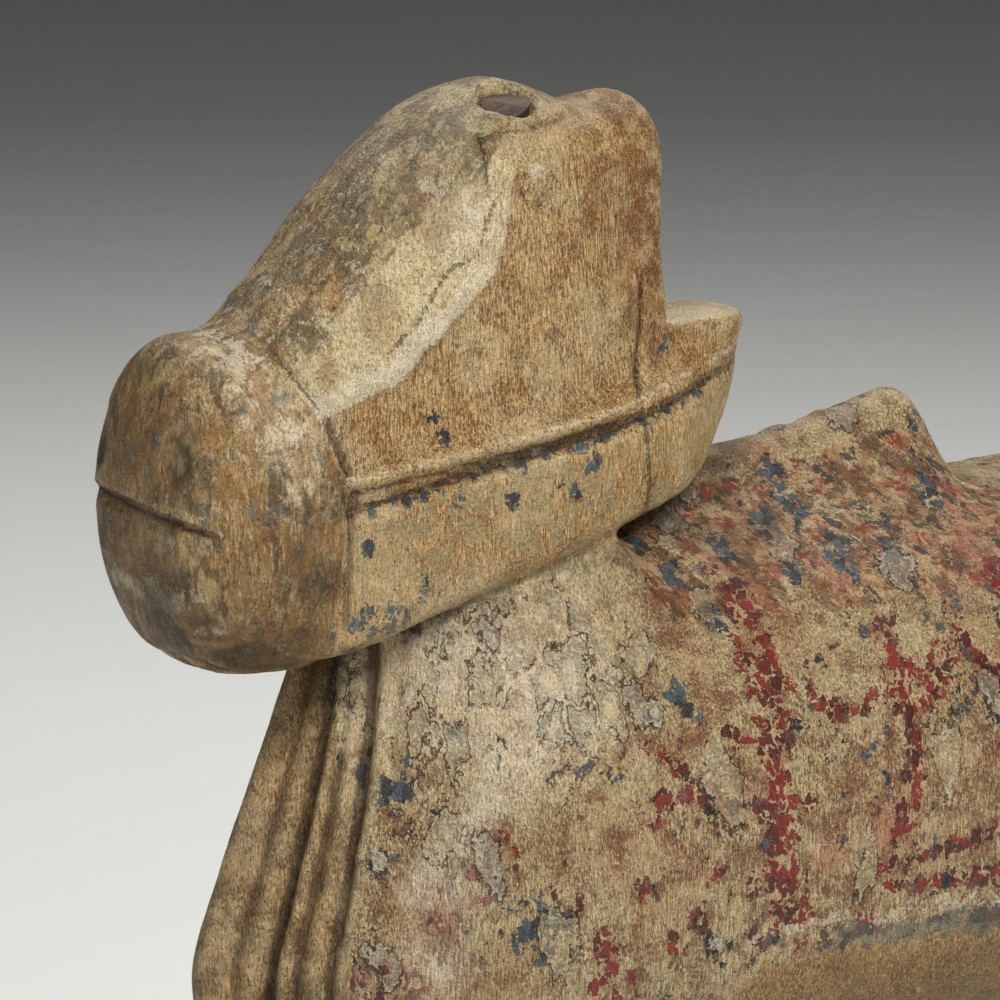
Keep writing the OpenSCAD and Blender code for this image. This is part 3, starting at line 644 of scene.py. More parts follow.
def masks_of(points):
    x, y, z = np.abs(points[:, 0]), points[:, 1], points[:, 2]
    keel = np.minimum(along_y(points, HEAD_KEEL, head_z),
                      np.where(y > head_y(0.84), along_y(points, LOBE_KEEL, head_z), 999))
    ridge = along_y(points, JAW_RIDGE, head_z)
    groove = along_y(points, JAW_GROOVE, head_z)
    head = soft(-0.6, 0.8, z - keel)*soft(-61, -65, y)*soft(28, 34, z - 190)
    edge = np.interp(z, [224, 242, 270, 287, 302, 308], [-189, -188.5, -186, -192.5, -201, -205])
    muzzle = head*soft(1.0, -1.0, y - edge)
    plate = np.interp(y, [p[0] for p in PLATE_EDGE], [p[1] for p in PLATE_EDGE])
    above = z - plate + 3.4*(swells(points, 7, SEED["torn_edge"], 2) - 0.5)
    flap = np.interp(z, [100, 147, 218, 240], [-181, -188.5, -179, -173])
    dewlap = (1 - head)*soft(1.2, -1.2, y - flap)
    hem = np.interp(y, [-175, -110, -92, -54, -20, 200], [118, 134, 150, 152, 150, 146])
    cloth = (1 - head)*(1 - dewlap)*soft(-1.5, 1.5, z - hem)
    return SimpleNamespace(x=x, y=y, z=z, keel=keel, ridge=ridge, groove=groove, head=head,
                           muzzle=muzzle, dewlap=dewlap, hem=hem, cloth=cloth, edge=edge,
                           above=above)


area = masks_of(points)
print("head points:", int(area.head.sum()), "muzzle points:", int(area.muzzle.sum()))

# %% [markdown]
# ## Blending the seams
# Where neck, body, hump and legs meet, the carver's rasp left no line. Those seams are
# relaxed for many rounds, under a mask that stays off the head and the pleats. A few rounds
# over everything take the saw-tooth off the voxels.

# %% Blend the seams
SEAM_ROUNDS, SKIN_ROUNDS = 90, 3


def blend_seams(points, area):
    y, z = area.y, area.z
    body = (1 - area.head)*soft(-182, -168, y)*soft(96, 110, z)
    near_head = soft(0, 10, area.keel - z + 40*soft(-62, -58, y))
    crest = soft(3, 9, area.x + 9*soft(250, 244, z))
    share = 0.5*body*near_head*(0.15 + 0.85*crest)
    bridge = band(y - area.edge, 13, 5)*soft(24, 13, area.x)*soft(284, 294, z)
    lobe = soft(-116, -106, y)*soft(-70, -76, y)*band(z - area.groove - 1.5, 7, 3)
    lobe = lobe*soft(10, 14, area.x)
    share = np.maximum(share, 0.5*area.head*np.maximum(bridge, lobe))
    points = relaxed(points, edges, share, SEAM_ROUNDS)
    return relaxed(points, edges, 0.5, SKIN_ROUNDS)


points = blend_seams(points, area)
area = masks_of(points)
write_points(bull.data, points)
print("blended; highest point", round(points[:, 2].max(), 2))

# %% [markdown]
# ## Carved cuts
# The mouth is a wedge, deepest right under the upper lip, and the nostrils are faint hollows.
# The brow has an engraved step with an upright nick at its front, the eye is a shallow oval
# and an upright groove marks the back of the cheek. Both sides of the head get the same cuts.

# %% Carve the head
MOUTH_Z = MUZZLE_Z - 1.6
LEDGE = [(-146, 332), (-145, 345), (-128, 347), (-113, 349)]
CHEEK_GROOVE = [(-100.5, 307), (-103, 294), (-106, 281)]
EYE_AT, EYE_SIZE = (-132.5, 335), (5.0, 6.5)
NOSTRIL_AT, NOSTRIL_SIZE = (17.5, 277.5), (6.0, 9.0)
HORN_X, HORN_AT = 12.5, (head_y(0.565), TOP_Z - 3)
HORN_LEAN = Vector((math.sin(math.radians(12)), -math.sin(math.radians(7)), 1.0)).normalized()


def oval(a, b, centre, size):
    return np.hypot((a - centre[0])/size[0], (b - centre[1])/size[1])


def mouth_line(x):
    """The cut bows up in the middle and was sawn a little askew."""
    return MOUTH_Z + 3.0*(1 - (x/27)**6) + 0.03*(27 - x)


def face_push(points, area):
    """How far the mouth and the nostrils push each point back into the face."""
    x, y, z = area.x, area.y, area.z
    drop = mouth_line(points[:, 0]) - z
    wedge = soft(-0.6, 0.4, drop)*np.clip(1 - drop/4.5, 0, 1)
    reach = soft(29, 25, x)*soft(-204, -212, y)
    lip = 0.2*soft(-3.5, -1.0, drop)*soft(0.2, -0.6, drop)*reach
    hollow = oval(x, z, NOSTRIL_AT, NOSTRIL_SIZE)
    return 1.4*wedge*reach + 1.5*soft(1.0, 0.25, hollow)*soft(-206, -214, y) - lip


def carve_head(points, area):
    x, y, z = area.x, area.y, area.z
    normal = normals_of(bull.data)
    side = area.head*soft(8, 14, x)*soft(0.25, 0.55, np.abs(normal[:, 0]))
    # Brow ledge, eye, cheek groove and the step at the edge of the cheek plate
    depth = 0.35*side*soft(1.5, 0.4, off_line(y, z, LEDGE[:2]))
    under = off_line(y, z, LEDGE[1:])
    depth += side*(1.0*soft(5.5, 0.0, under)*(z < np.interp(y, [-146, -128, -113],
                                                            [345, 347, 349])))
    ring = oval(y, z, EYE_AT, EYE_SIZE)
    depth += side*(0.3*band(ring - 1, 0.40, 0.10) - 0.8*soft(0.95, 0.1, ring))
    depth += 1.0*side*soft(1.7, 0.5, off_line(y, z, CHEEK_GROOVE))
    depth += 0.5*side*soft(0, 2.5, y + 103 + (z - 300)*0.1)*soft(312, 300, z)*soft(-93, -97, y)
    above = area.above
    depth -= 0.8*side*(1 - area.muzzle)*soft(-1.2, 0.8, above)*soft(24, 6, above)*soft(
        -120, -142, y)*(1 - 0.7*soft(312, 328, z))
    # The jaw ridge stands proud, and a fold runs round the back of the muzzle
    bare_side = side*(1 - area.muzzle)
    proud = 0.25 + 0.75*soft(-94, -112, y)
    depth -= 1.0*proud*bare_side*band(z - area.ridge, 1.9, 0.2)
    depth += 0.5*proud*bare_side*band(z - area.ridge + 3.0, 1.9, 0.2)
    depth += 0.7*bare_side*band(z - area.groove, 1.8, 0.3)
    fold = y - area.edge
    depth += 0.8*area.head*band(fold - 2.2, 2.2, 0.4)*soft(232, 240, z)*soft(9, 20, x)
    push = face_push(points, area)
    points = points - normal*depth[:, None]
    points[:, 1] += push
    return points


def carve_pleats(points, area):
    # The blending softened the pleats, so they are cut again along the neck's own tables
    x, y, z = area.x, area.y, area.z
    share = np.clip((z - BRISKET_Z)/(THROAT_Z - BRISKET_Z), 0, 1)
    heights = np.linspace(0, 1, 41)
    lines = np.array([eased(NECK_LINES, h) for h in np.clip(heights, 0, 0.999)])
    fan = np.interp(share, heights, lines[:, 2])
    front = np.interp(share, heights, NOSE_Y + lines[:, 0])
    ahead = (1 - area.head)*soft(96, 104, z)*soft(26, 16, y - front)
    sink = np.zeros(len(points))
    for place, deep in ((10.5, 1.4), (18.5, 2.6), (26.0, 1.0), (34.0, 2.6)):
        at_x = float(eased(PLEAT_LINE, place)[0])*fan
        sink = sink + deep*band(x - at_x, 2.3, 0.0)
        sink = sink - 0.45*deep*band(x - at_x - 3.4, 2.4, 0.0)
    points = points.copy()
    points[:, 1] += 0.8*sink*ahead
    points[:, 0] -= 0.6*np.sign(points[:, 0])*sink*ahead
    return points


def carve_sockets(points):
    for side in (1, -1):
        lean = np.array([side*HORN_LEAN.x, HORN_LEAN.y, HORN_LEAN.z])
        at = np.array([side*HORN_X, HORN_AT[0], HORN_AT[1]])
        offset = points - at
        up = offset @ lean
        radius = np.linalg.norm(offset - up[:, None]*lean, axis=1)
        sink = soft(7.6, 6.4, radius)*(np.abs(up) < 9)
        points = points - lean*(np.maximum(up + 3.4, 0)*sink)[:, None]
    return points


points = carve_sockets(carve_pleats(carve_head(points, area), area))
write_points(bull.data, points)
print("head carved; nose at", round(points[:, 1].min(), 2))

# %% [markdown]
# ## The worn surface
# Three things shape the skin: a knife left shallow flats, the upright grain weathered into
# ridges, and the chalk ground broke into plates, of which some lifted and some fell out.
# The relief here is what shows at arm's length. Finer relief is left to the material.

# %% Wear the surface
def wear_surface(points, area):
    normal = normals_of(bull.data)
    y, z = area.y, area.z
    flats = swells(points, 16, SEED["flats"], 2) - 0.5
    grain = swells(points*[1, 1, 0.12], 2.6, SEED["grain"], 2) - 0.5
    relief = 0.6*flats + 0.35*grain*(1 - 0.3*area.cloth)
    inside, own = plates(points*[1, 1, 0.55], 6.5, SEED["plates"])
    shoulder = area.cloth*soft(-95, -120, y)*soft(165, 190, z)
    lifted = area.cloth*(own > mixed(0.90, 0.60, shoulder))
    relief += 0.5*lifted*soft(0.2, 1.2, inside)
    relief -= 0.35*area.cloth*(own < 0.10)*soft(0.2, 1.2, inside)
    feet = soft(64, 56, z)
    relief *= 1 - 0.6*feet
    return points + normal*relief[:, None]


points = wear_surface(points, area)
low, high = [np.array(corner)/MM for corner in cad_box]
# The relief keeps just inside the solid's own box
INSET = 0.05
points = np.clip(points, low + INSET, high - INSET)
write_points(bull.data, points)
bull.data.shade_smooth()
print("surface relief done")

# %% [markdown]
# ## What the paint needs to know
# The material is procedural, but it has to know where the bull was painted. Each kind of
# paint and dirt, and each painted highlight and painted shade, is a number at each point of
# the mesh. The material reads it, breaks it up with its own fine noise and so gets crisp
# flaked edges at any distance.

# %% Marks of the paint
# Lines as stops and half a width, spots as a place and a size, all in the side view
RED_LINES = [
    ([(-85, 234), (-86, 208), (-90, 190), (-89, 176), (-86, 163)], 4.2),
    ([(-52, 226), (-52, 206), (-53, 193), (-55, 178)], 3.0),
    ([(-75, 211), (-71, 207), (-61, 209)], 2.4),
    ([(-118, 193), (-110, 194), (-98, 188)], 2.8),
    ([(-98, 206), (-91, 203)], 2.2),
    ([(-62, 170), (-46, 173), (-29, 176), (30, 172)], 2.2),
    ([(-51, 217), (-46, 210), (-34, 221), (-24, 209)], 2.6),
    ([(-16, 232), (-17, 206), (-15, 170)], 3.2), ([(22, 230), (20, 200), (23, 168)], 3.2),
    ([(60, 232), (59, 198), (62, 166)], 3.2), ([(98, 230), (99, 200), (97, 170)], 3.2),
    ([(-24, 208), (20, 205), (60, 208), (98, 205)], 2.4),
    ([(-60, 166), (20, 164), (98, 166)], 2.2)]
RED_SPOTS = [
    (-92, 157, 5), (-66, 157, 5), (-31, 155, 5), (-81, 145, 3), (-156, 185, 4), (-161, 180, 3.5),
    (-165, 173, 4.5), (-168, 167, 4), (-178, 157, 5), (-186, 155, 4), (-181, 150, 5),
    (-134, 161, 4.5), (-133, 153, 5), (-146, 175, 3), (-141, 171, 3), (-118, 205, 2), (-80, 190, 3),
    (-112, 200, 4), (-120, 188, 3), (-106, 176, 3.5), (-96, 172, 4), (-116, 160, 4),
    (-123, 174, 3.5), (-108, 166, 4), (-127, 152, 4)]
BLUE_SPOTS = [
    (-108, 216, 2.6), (-106, 211, 2.2), (-103, 245, 3.4), (-99, 239, 3), (-93, 230, 2.4),
    (-82, 242, 2.6), (-69, 238, 2.6), (-54, 240, 4), (-20, 248, 3.6), (-150, 168, 6),
    (-173, 198, 3.6), (-58, 256, 3), (-58, 249, 3), (-68, 247, 3.4), (-41, 238, 3),
    (-161, 210, 1.6), (-94, 291, 2), (-123, 270, 3.2), (-132, 263, 1.6), (-127, 262, 2.2),
    (-145, 262, 2.2), (-159, 263, 2.2), (-161, 278, 2), (-163, 283, 1.6), (-181, 256, 2),
    (-105, 252, 1.6)]
PINK_SPOTS = [
    (-57, 236, 6), (-17, 238, 6), (-58, 259, 4), (-54, 222, 4), (-76, 176, 7), (-60, 182, 9),
    (30, 236, 6), (70, 240, 5)]
# Chalk left white, with painted highlights among them on the muzzle top and the shoulder.
CHALK_AND_HIGHLIGHT_SPOTS = [
    (-224, 246, 6), (-217, 240, 4), (-199, 284, 6), (-205, 300, 8), (-160, 231, 11),
    (-148, 228, 13), (-137, 217, 9), (-145, 213, 8), (-129, 210, 6), (-154, 205, 7), (-162, 208, 7),
    (-170, 158, 6), (-133, 337, 4), (-158, 334, 5), (-150, 328, 4)]
FLAKE_SPOTS = [
    (-160, 231, 5), (-133, 229, 7), (-141, 213, 7), (-145, 222, 7), (-129, 210, 6), (-164, 196, 6),
    (-151, 220, 8), (-108, 181, 4), (-106, 171, 4), (-118, 224, 6), (-154, 208, 6)]
# Painted highlights: pale patches where light falls, on the muzzle top, the shoulder, the lower
# chest and the cheek plate.
HIGHLIGHT_SPOTS = [
    (-199, 284, 9), (-155, 226, 16), (-140, 220, 14), (-150, 208, 10), (-166, 176, 6),
    (-170, 160, 7), (-150, 325, 9)]
# Painted highlight on the top of the muzzle.
MUZZLE_HIGHLIGHT = [(-199, 284, 11), (-206, 294, 10), (-196, 270, 7)]
# Painted highlight along a bevel edge of the chest.
HIGHLIGHT_BAND = [(-172, 175), (-161, 192), (-148, 207)]
CHECK_CRACK = [(-106, 279), (-105, 264), (-104, 252)]
PLATE_CRACK = [(-141, 335), (-146, 327), (-149, 319), (-157, 316), (-165, 306), (-174, 299)]

print("marks:", len(RED_LINES), "lines,", len(RED_SPOTS + BLUE_SPOTS + PINK_SPOTS), "spots")

# %% [markdown]
# ## Reading the marks
# A mark becomes a soft number at each point, 1 in its middle and 0 outside. The knife cuts
# are kept as a distance instead, so the material can draw them thinner than the mesh is fine.

# %% Reading the marks
def spots(y, z, marks):
    found = np.zeros(len(y))
    for at_y, at_z, size in marks:
        found = np.maximum(found, 1 - np.hypot(y - at_y, z - at_z)/(1.6*size))
    return np.clip(found, 0, 1)


def strokes(y, z, lines):
    found = np.zeros(len(y))
    for stops, half in lines:
        found = np.maximum(found, 1 - off_line(y, z, stops)/(2*half))
    return np.clip(found, 0, 1)


def knife_marks(points, area):
    """Distance in mm to the nearest thin cut, or far where there is none."""
    x, y, z = area.x, area.y, area.z
    far = 20*(1 - area.head*soft(8, 14, x))
    bare_side = 20*(1 - area.head*(1 - area.muzzle)*soft(8, 14, x))
    marks = [off_line(y, z, CHEEK_GROOVE) + far + 0.25, off_line(y, z, CHECK_CRACK) + far,
             off_line(y, z, PLATE_CRACK) + far + 0.15,
             off_line(y, z, LEDGE[:2]) + far + 0.25, off_line(y, z, LEDGE[1:]) + far + 0.5,
             5.7*np.abs(oval(y, z, EYE_AT, EYE_SIZE) - 1) + far + 0.5*soft(330, 336, z) + 0.3,
             np.abs(z - area.ridge + 2.6) + bare_side + 0.2,
             np.abs(z - area.groove) + bare_side + 0.2]
    marks.append(np.abs(y - area.edge - 1.2) + 0.2
                 + 20*(1 - area.head*soft(230, 238, z)*soft(10, 18, x)))
    marks.append(np.abs(z - mouth_line(points[:, 0])) - 0.5
                 + 20*(1 - soft(30, 27, x)*soft(-200, -206, y)))
    return np.clip(np.minimum.reduce(marks), -1, 9)


area = masks_of(points)
cuts = knife_marks(points, area)
print("thin cuts on", int((cuts < 0.5).sum()), "points")

# %% [markdown]
# ## The plan of the paint
# Each layer of the paint gets its share at every point, from the parts of the animal, the
# marks and a slow chance. Hollows are found by comparing the skin with a smoothed copy.

# %% Paint plan
HOLLOW_ROUNDS = 14


def places_of(points, area):
    """The parts of the animal, and with them the soft places that only the paint knows."""
    y, z, normal = area.y, area.z, normals_of(bull.data)
    p = SimpleNamespace(**vars(area))
    p.large, p.middle = swells(points, 38, SEED["large"]), swells(points, 12, SEED["middle"])
    # The hem of the cloth fades out, so that the material can break it into flakes
    p.cloth = (1 - p.head)*(1 - p.dewlap)*soft(-7, 6, z - p.hem)
    p.torn_hem = p.hem + 7*(p.middle - 0.5)
    p.side = p.head*(1 - p.muzzle)
    top = np.interp(y, [-200, -160, -133, -112, -95], [300, 338, 356, 348, 350])
    p.on_plate = p.side*soft(-2, 3, p.above)*soft(-126, -150, y)*soft(3, 14, top - z)
    depth = np.interp(y, [-200, -150, -140, -112], [26, 26, 13, 8])
    p.bridge = p.side*soft(-100, -118, y)*soft(0, -14, top - z - depth)
    p.forehead = p.side*soft(9, 2, top - z)*soft(-100, -120, y)*soft(-176, -160, y)
    # Painted highlight: the upward faces at the back of the head get pale ground and chalk.
    p.lobe_top = p.side*soft(-94, -90, y)*soft(0.6, 0.85, normal[:, 2])
    p.strip = (p.side*band(p.above - 2.2, 6, 1)*soft(-132, -146, y)
               * (1 - 0.75*soft(311, 325, z)))
    p.hump = p.cloth*soft(222, 238, z)*soft(-114, -100, y)*soft(12, 2, y)
    p.shoulder = p.cloth*soft(-112, -130, y)*soft(188, 212, z)
    p.crest = p.side*soft(-122, -100, y)*soft(286, 304, z)
    p.pale_band = off_line(y, z, HIGHLIGHT_BAND)
    p.belly = (1 - p.head)*(1 - p.cloth)*(1 - p.dewlap)
    smooth = relaxed(points, edges, 0.5, HOLLOW_ROUNDS)
    p.hollow = np.einsum("ij,ij->i", smooth - points, normal)
    return p


def ground_plan(p):
    y, z = p.y, p.z
    # The muzzle highlight spots lay bare pale ground there as a painted highlight.
    ground = (0.86*p.cloth + 0.28*p.muzzle + 0.20*p.dewlap
              + 0.55*p.muzzle*spots(y, z, MUZZLE_HIGHLIGHT)
              + p.side*(0.30 + 0.54*p.on_plate + 0.30*p.strip + 0.14*p.bridge)
              + 0.18*p.forehead + 0.5*p.lobe_top)
    flake = np.clip(0.05*p.cloth + 0.36*p.shoulder + 0.03*p.hump
                    + 0.55*p.cloth*spots(y, z, FLAKE_SPOTS), 0, 1)
    return dict(ground=ground, flake=flake, stain=p.muzzle,
                aged=np.clip(p.cloth*(1 - 0.6*p.shoulder), 0, 1),
                mottle=p.bridge*(1 - 0.75*p.on_plate)*(1 - 0.20*p.forehead),
                hump=p.hump*(1 - 0.95*soft(10.5, 6.5, p.x)*soft(236, 244, z)),
                jaw=p.side*soft(1.5, -1.5, z - p.groove), bare=np.clip(p.belly, 0, 1))


def colour_plan(p):
    x, y, z = p.x, p.y, p.z
    by_hem = p.cloth*band(z - p.hem - 6, 9, 2)*soft(-112, -90, y)
    marked = np.maximum(0.84*strokes(y, z, RED_LINES)*soft(18, 26, x),
                        0.80*spots(y, z, RED_SPOTS))
    red = np.maximum.reduce([p.cloth*marked, 0.23*p.cloth*soft(0.42, 0.62, p.middle),
                             0.36*by_hem])
    blue = np.maximum.reduce([spots(y, z, BLUE_SPOTS)*(1 - p.dewlap),
                              p.side*band(z - p.groove + 0.8, 2.6, 0.4)*0.46,
                              0.34*p.side*soft(-152, -178, y)*soft(20, 5, z - p.keel),
                              0.20*p.cloth*soft(0.5, 0.65, p.middle)])
    back = p.side*soft(-110, -99, y)*soft(298, 312, z)
    return dict(red=red, blue=blue,
                pink=p.cloth*np.maximum(spots(y, z, PINK_SPOTS), 0.34*soft(0.46, 0.66, p.large)),
                teal=p.cloth*band(z - p.torn_hem - 3, 6.0, 1.5)*soft(-96, -60, y),
                rust=np.clip(p.crest*(0.30 + 0.60*p.large) + 0.55*back, 0, 1))


def chalk_and_highlight_plan(p):
    x, y, z = p.x, p.y, p.z
    # Painted highlight: chalk white along the top edge of the jaw ridge.
    ridge_highlight = p.side*band(z - p.ridge - 0.6, 1.8, 0.2)
    # White chalk ground left bare, mixed with painted highlights: spots on the muzzle and the
    # shoulder, the jaw ridge, the shoulder, the lobe top, the forehead and the band on the chest.
    chalk = np.maximum.reduce([
        0.70*spots(y, z, CHALK_AND_HIGHLIGHT_SPOTS), 0.88*p.strip, 0.56*ridge_highlight, 0.44*p.shoulder,
        0.50*soft(4.0, 1.0, p.pale_band), 0.34*p.bridge, 0.30*p.on_plate, 0.50*p.lobe_top,
        0.22*p.forehead, 0.55*p.cloth*band(z - p.torn_hem - 8.5, 4.5, 0.5)])
    # Painted highlight: a soft pale wash on these spots, the forehead and the band on the chest.
    painted_highlight = np.clip(spots(y, z, HIGHLIGHT_SPOTS)*soft(10, 18, x)*(1 - 0.5*p.muzzle)
                   + 0.2*p.forehead + soft(5.5, 1.0, p.pale_band), 0, 1)
    return dict(chalk=chalk, painted_highlight=painted_highlight)


def dirt_and_shade_plan(p, cuts):
    x, y, z = p.x, p.y, p.z
    # Painted shadow: the neck just under the overhanging head is darkened.
    under = soft(16, 0, p.keel - z)*(1 - p.head)*soft(-60, -70, y)
    # Painted shade: a dark band just under the jaw ridge.
    shade_under_ridge = p.side*band(z - p.ridge + 3.6, 3.4, 0.6)
    # Real dirt on the crest, bridge, forehead, hump and belly, summed with painted shadow under the
    # head and painted shade under the jaw ridge and in the nostrils. The dewlap is darker, and the
    # muzzle darker towards the bottom.
    dirt_and_shade = (0.40*p.dewlap + 0.30*under + 0.26*p.muzzle*soft(0.45, 0.75, 1.1*p.large)
            + 0.16*p.bridge + 0.10*p.belly + 0.30*p.hump*soft(0.45, 0.6, p.large)
            # Painted shade and dirt in the nostril hollows.
            + 0.80*p.muzzle*soft(1.3, 0.3, oval(x, z, NOSTRIL_AT, NOSTRIL_SIZE))
            + 0.52*p.muzzle*soft(276, 236, z) + 0.15*shade_under_ridge + 0.34*p.crest + 0.14*p.forehead)
    return dict(dirt_and_shade=dirt_and_shade, cut=cuts, hollow=p.hollow)


def keep_plan(mesh, plan):
    for name, values in plan.items():
        layer = mesh.attributes.new(name, "FLOAT", "POINT")
        layer.data.foreach_set("value", values.astype(np.float32))


places = places_of(points, area)
plan = {**ground_plan(places), **colour_plan(places), **chalk_and_highlight_plan(places),
        **dirt_and_shade_plan(places, cuts)}
keep_plan(bull.data, plan)
print("paint plan:", ", ".join(f"{k} {v.mean():.2f}" for k, v in plan.items()))

# %% [markdown]
# ## A small language for materials
# A material is a graph of nodes. These few helpers let each finish be written as a sum, in
# the order in which the layers lie: wood, chalk ground, colour, painted highlights, then dirt
# and painted shade.

# %% Material helpers
def ink(red, green, blue):
    """A colour from the usual 0 to 255 scale, in linear light."""
    return tuple(((c/255 + 0.055)/1.055)**2.4 for c in (red, green, blue)) + (1.0,)


class Finish:
    """One material in the making. A plain number can stand wherever a node's output can."""

    def __init__(self, name):
        self.material = bpy.data.materials.new(name)
        self.material.use_nodes = True
        self.tree = self.material.node_tree
        self.tree.nodes.clear()
        self.place = self.node("TexCoord").outputs["Object"]

    def node(self, kind, feeds=None, **settings):
        made = self.tree.nodes.new("ShaderNode" + kind)
        for key, value in settings.items():
            setattr(made, key, value)
        for key, value in (feeds or {}).items():
            if isinstance(value, bpy.types.NodeSocket):
                self.tree.links.new(value, made.inputs[key])
            else:
                made.inputs[key].default_value = value
        return made

    def sum(self, kind, *values):
        return self.node("Math", dict(enumerate(values)), operation=kind).outputs[0]

    def plus(self, *values):
        return reduce(lambda a, b: self.sum("ADD", a, b), values)

    def times(self, *values):
        return reduce(lambda a, b: self.sum("MULTIPLY", a, b), values)

    def less(self, value):
        return self.sum("SUBTRACT", 1.0, value)

    def around(self, value, strength):
        """Noise around 0.5 turned into a push up or down of the given strength."""
        return self.sum("MULTIPLY_ADD", value, strength, -0.5*strength)

    def step(self, value, low, high):
        feeds = {"Value": value, "From Min": low, "From Max": high}
        return self.node("MapRange", feeds, interpolation_type="SMOOTHSTEP").outputs["Result"]

    def near(self, value, far):
        """1 where the value is close to zero, gone where it is far."""
        return self.step(self.sum("ABSOLUTE", value), far, 0.0)

    def scaled(self, x, y, z):
        feeds = {0: self.place, 1: (x, y, z)}
        return self.node("VectorMath", feeds, operation="MULTIPLY").outputs[0]

    def leaned(self, degrees, stretch):
        """Places in a grid that leans about X, drawn out along its own Z."""
        feeds = {"Vector": self.place, "Rotation": (math.radians(degrees), 0.0, 0.0),
                 "Scale": (1.0, 1.0, stretch)}
        return self.node("Mapping", feeds, vector_type="TEXTURE").outputs[0]

    def noise(self, per_metre, detail=3.0, rough=0.55, at=None, warp=0.0, output="Fac"):
        feeds = {"Vector": at or self.place, "Scale": per_metre, "Detail": detail,
                 "Roughness": rough, "Distortion": warp}
        return self.node("TexNoise", feeds).outputs[output]

    def warped(self, per_metre, far, at):
        feeds = {0: self.noise(per_metre, 2.0, 0.5, at, output="Color"), 1: (far,)*3, 2: at}
        return self.node("VectorMath", feeds, operation="MULTIPLY_ADD").outputs[0]

    def plates(self, per_metre, at):
        """Distance from the edge of each cell, and two chances of the cell's own."""
        feeds = {"Vector": at, "Scale": per_metre}
        edge = self.node("TexVoronoi", feeds, feature="DISTANCE_TO_EDGE").outputs["Distance"]
        own = self.node("TexVoronoi", feeds, feature="F1").outputs["Color"]
        parts = self.node("SeparateColor", {0: own})
        return edge, parts.outputs[0], parts.outputs[1]

    def known(self, name):
        return self.node("Attribute", attribute_name=name).outputs["Fac"]

    def mix(self, under, over, share, blend="MIX"):
        feeds = {0: share, 6: under, 7: over}
        return self.node("Mix", feeds, data_type="RGBA", blend_type=blend).outputs[2]

    def over(self, colour, *tones):
        """Tones laid one over the other, each where its own noise is high."""
        for tone, noise, low, high, share in tones:
            colour = self.mix(colour, ink(*tone), self.times(self.step(noise, low, high), share))
        return colour

    def bump(self, height, distance):
        return self.node("Bump", {"Distance": distance, "Height": height}).outputs["Normal"]

    def done(self, colour, rough, normal, metal=0.0):
        feeds = {"Base Color": colour, "Roughness": rough, "Metallic": metal, "Normal": normal}
        shader = self.node("BsdfPrincipled", feeds)
        self.node("OutputMaterial", {0: shader.outputs[0]})
        return self.material


paint = Finish("old_paint_on_wood")
print("paint started with", len(paint.tree.nodes), "node")

# %% [markdown]
# ## Old paint on wood, from the wood outwards
# The bull shows five layers: golden wood with upright grain and dark pores, a cream chalk
# ground that came off in places, coloured touches that dried into small angular cells, flakes
# that lifted off, and brown dirt in every hollow. Over them lie painted highlights, and painted
# shade in the hollows, the cuts, the nostrils and under the head. Each layer is its own function
# here. All of them share one set of noises, because the same weather broke them all.

# %% Shared noises
def lay_noises(f):
    f.broad = f.noise(42, 2)
    f.zone = f.noise(110, 3, 0.6, warp=0.5)
    f.middle = f.noise(260, 3, 0.6, warp=0.3)
    f.fine = f.noise(1050, 3, 0.65)
    f.grit = f.noise(2300, 2, 0.6)
    f.streak = f.noise(1750, 3, 0.66, f.scaled(1.0, 1.0, 0.12), 0.2)
    f.fibre = f.noise(2900, 2, 0.6, f.scaled(1.0, 1.0, 0.10))
    f.pits = f.plus(f.noise(2500, 2, 0.55, f.scaled(1.0, 1.0, 0.32)), f.around(f.zone, 0.55),
                    f.around(f.middle, 0.35), f.times(f.known("stain"), -0.06))
    f.specks = f.plus(f.noise(1500, 2, 0.6), f.around(f.zone, 0.40))
    f.ragged = f.around(f.plus(f.times(f.middle, 0.6), f.times(f.fine, 0.4)), 1.0)


lay_noises(paint)
print("shared noises:", len(paint.tree.nodes), "nodes")

# %% [markdown]
# ## Bare wood and chalk ground
# On the head the ground is mostly gone and the oiled wood shines through, golden with darker
# pores. The belly and the legs were stained brown. On the cheek plate the ground is whole and
# smooth. On the body it is old: yellowed, pitted and combed into fine upright threads by the
# shrinking wood beneath. There its edge is torn, while on the head it is worn thin.

# %% Wood and chalk ground
def wood_layer(f):
    wood = f.mix(ink(130, 94, 50), ink(206, 171, 118), f.step(f.streak, 0.33, 0.67))
    wood = f.over(wood, ((188, 128, 60), f.zone, 0.50, 0.64, 0.45),
                  ((196, 176, 142), f.broad, 0.50, 0.60, 0.40),
                  ((236, 210, 164), f.fibre, 0.54, 0.64, 0.60),
                  ((86, 58, 30), f.pits, 0.56, 0.66, 0.72))
    jaw = f.times(f.known("jaw"), f.step(f.middle, 0.42, 0.58), 0.8)
    wood = f.mix(wood, ink(174, 155, 114), jaw)
    patches = f.step(f.plus(f.zone, f.around(f.broad, 0.5)), 0.34, 0.64)
    belly = f.over(f.mix(ink(96, 68, 36), ink(170, 134, 86), patches),
                   ((204, 170, 116), f.fibre, 0.52, 0.64, 0.60),
                   ((62, 42, 22), f.pits, 0.55, 0.66, 0.66))
    wood = f.mix(wood, belly, f.times(f.known("bare"), 0.72))
    return f.mix(wood, ink(138, 102, 52), f.times(f.known("stain"), 0.36))


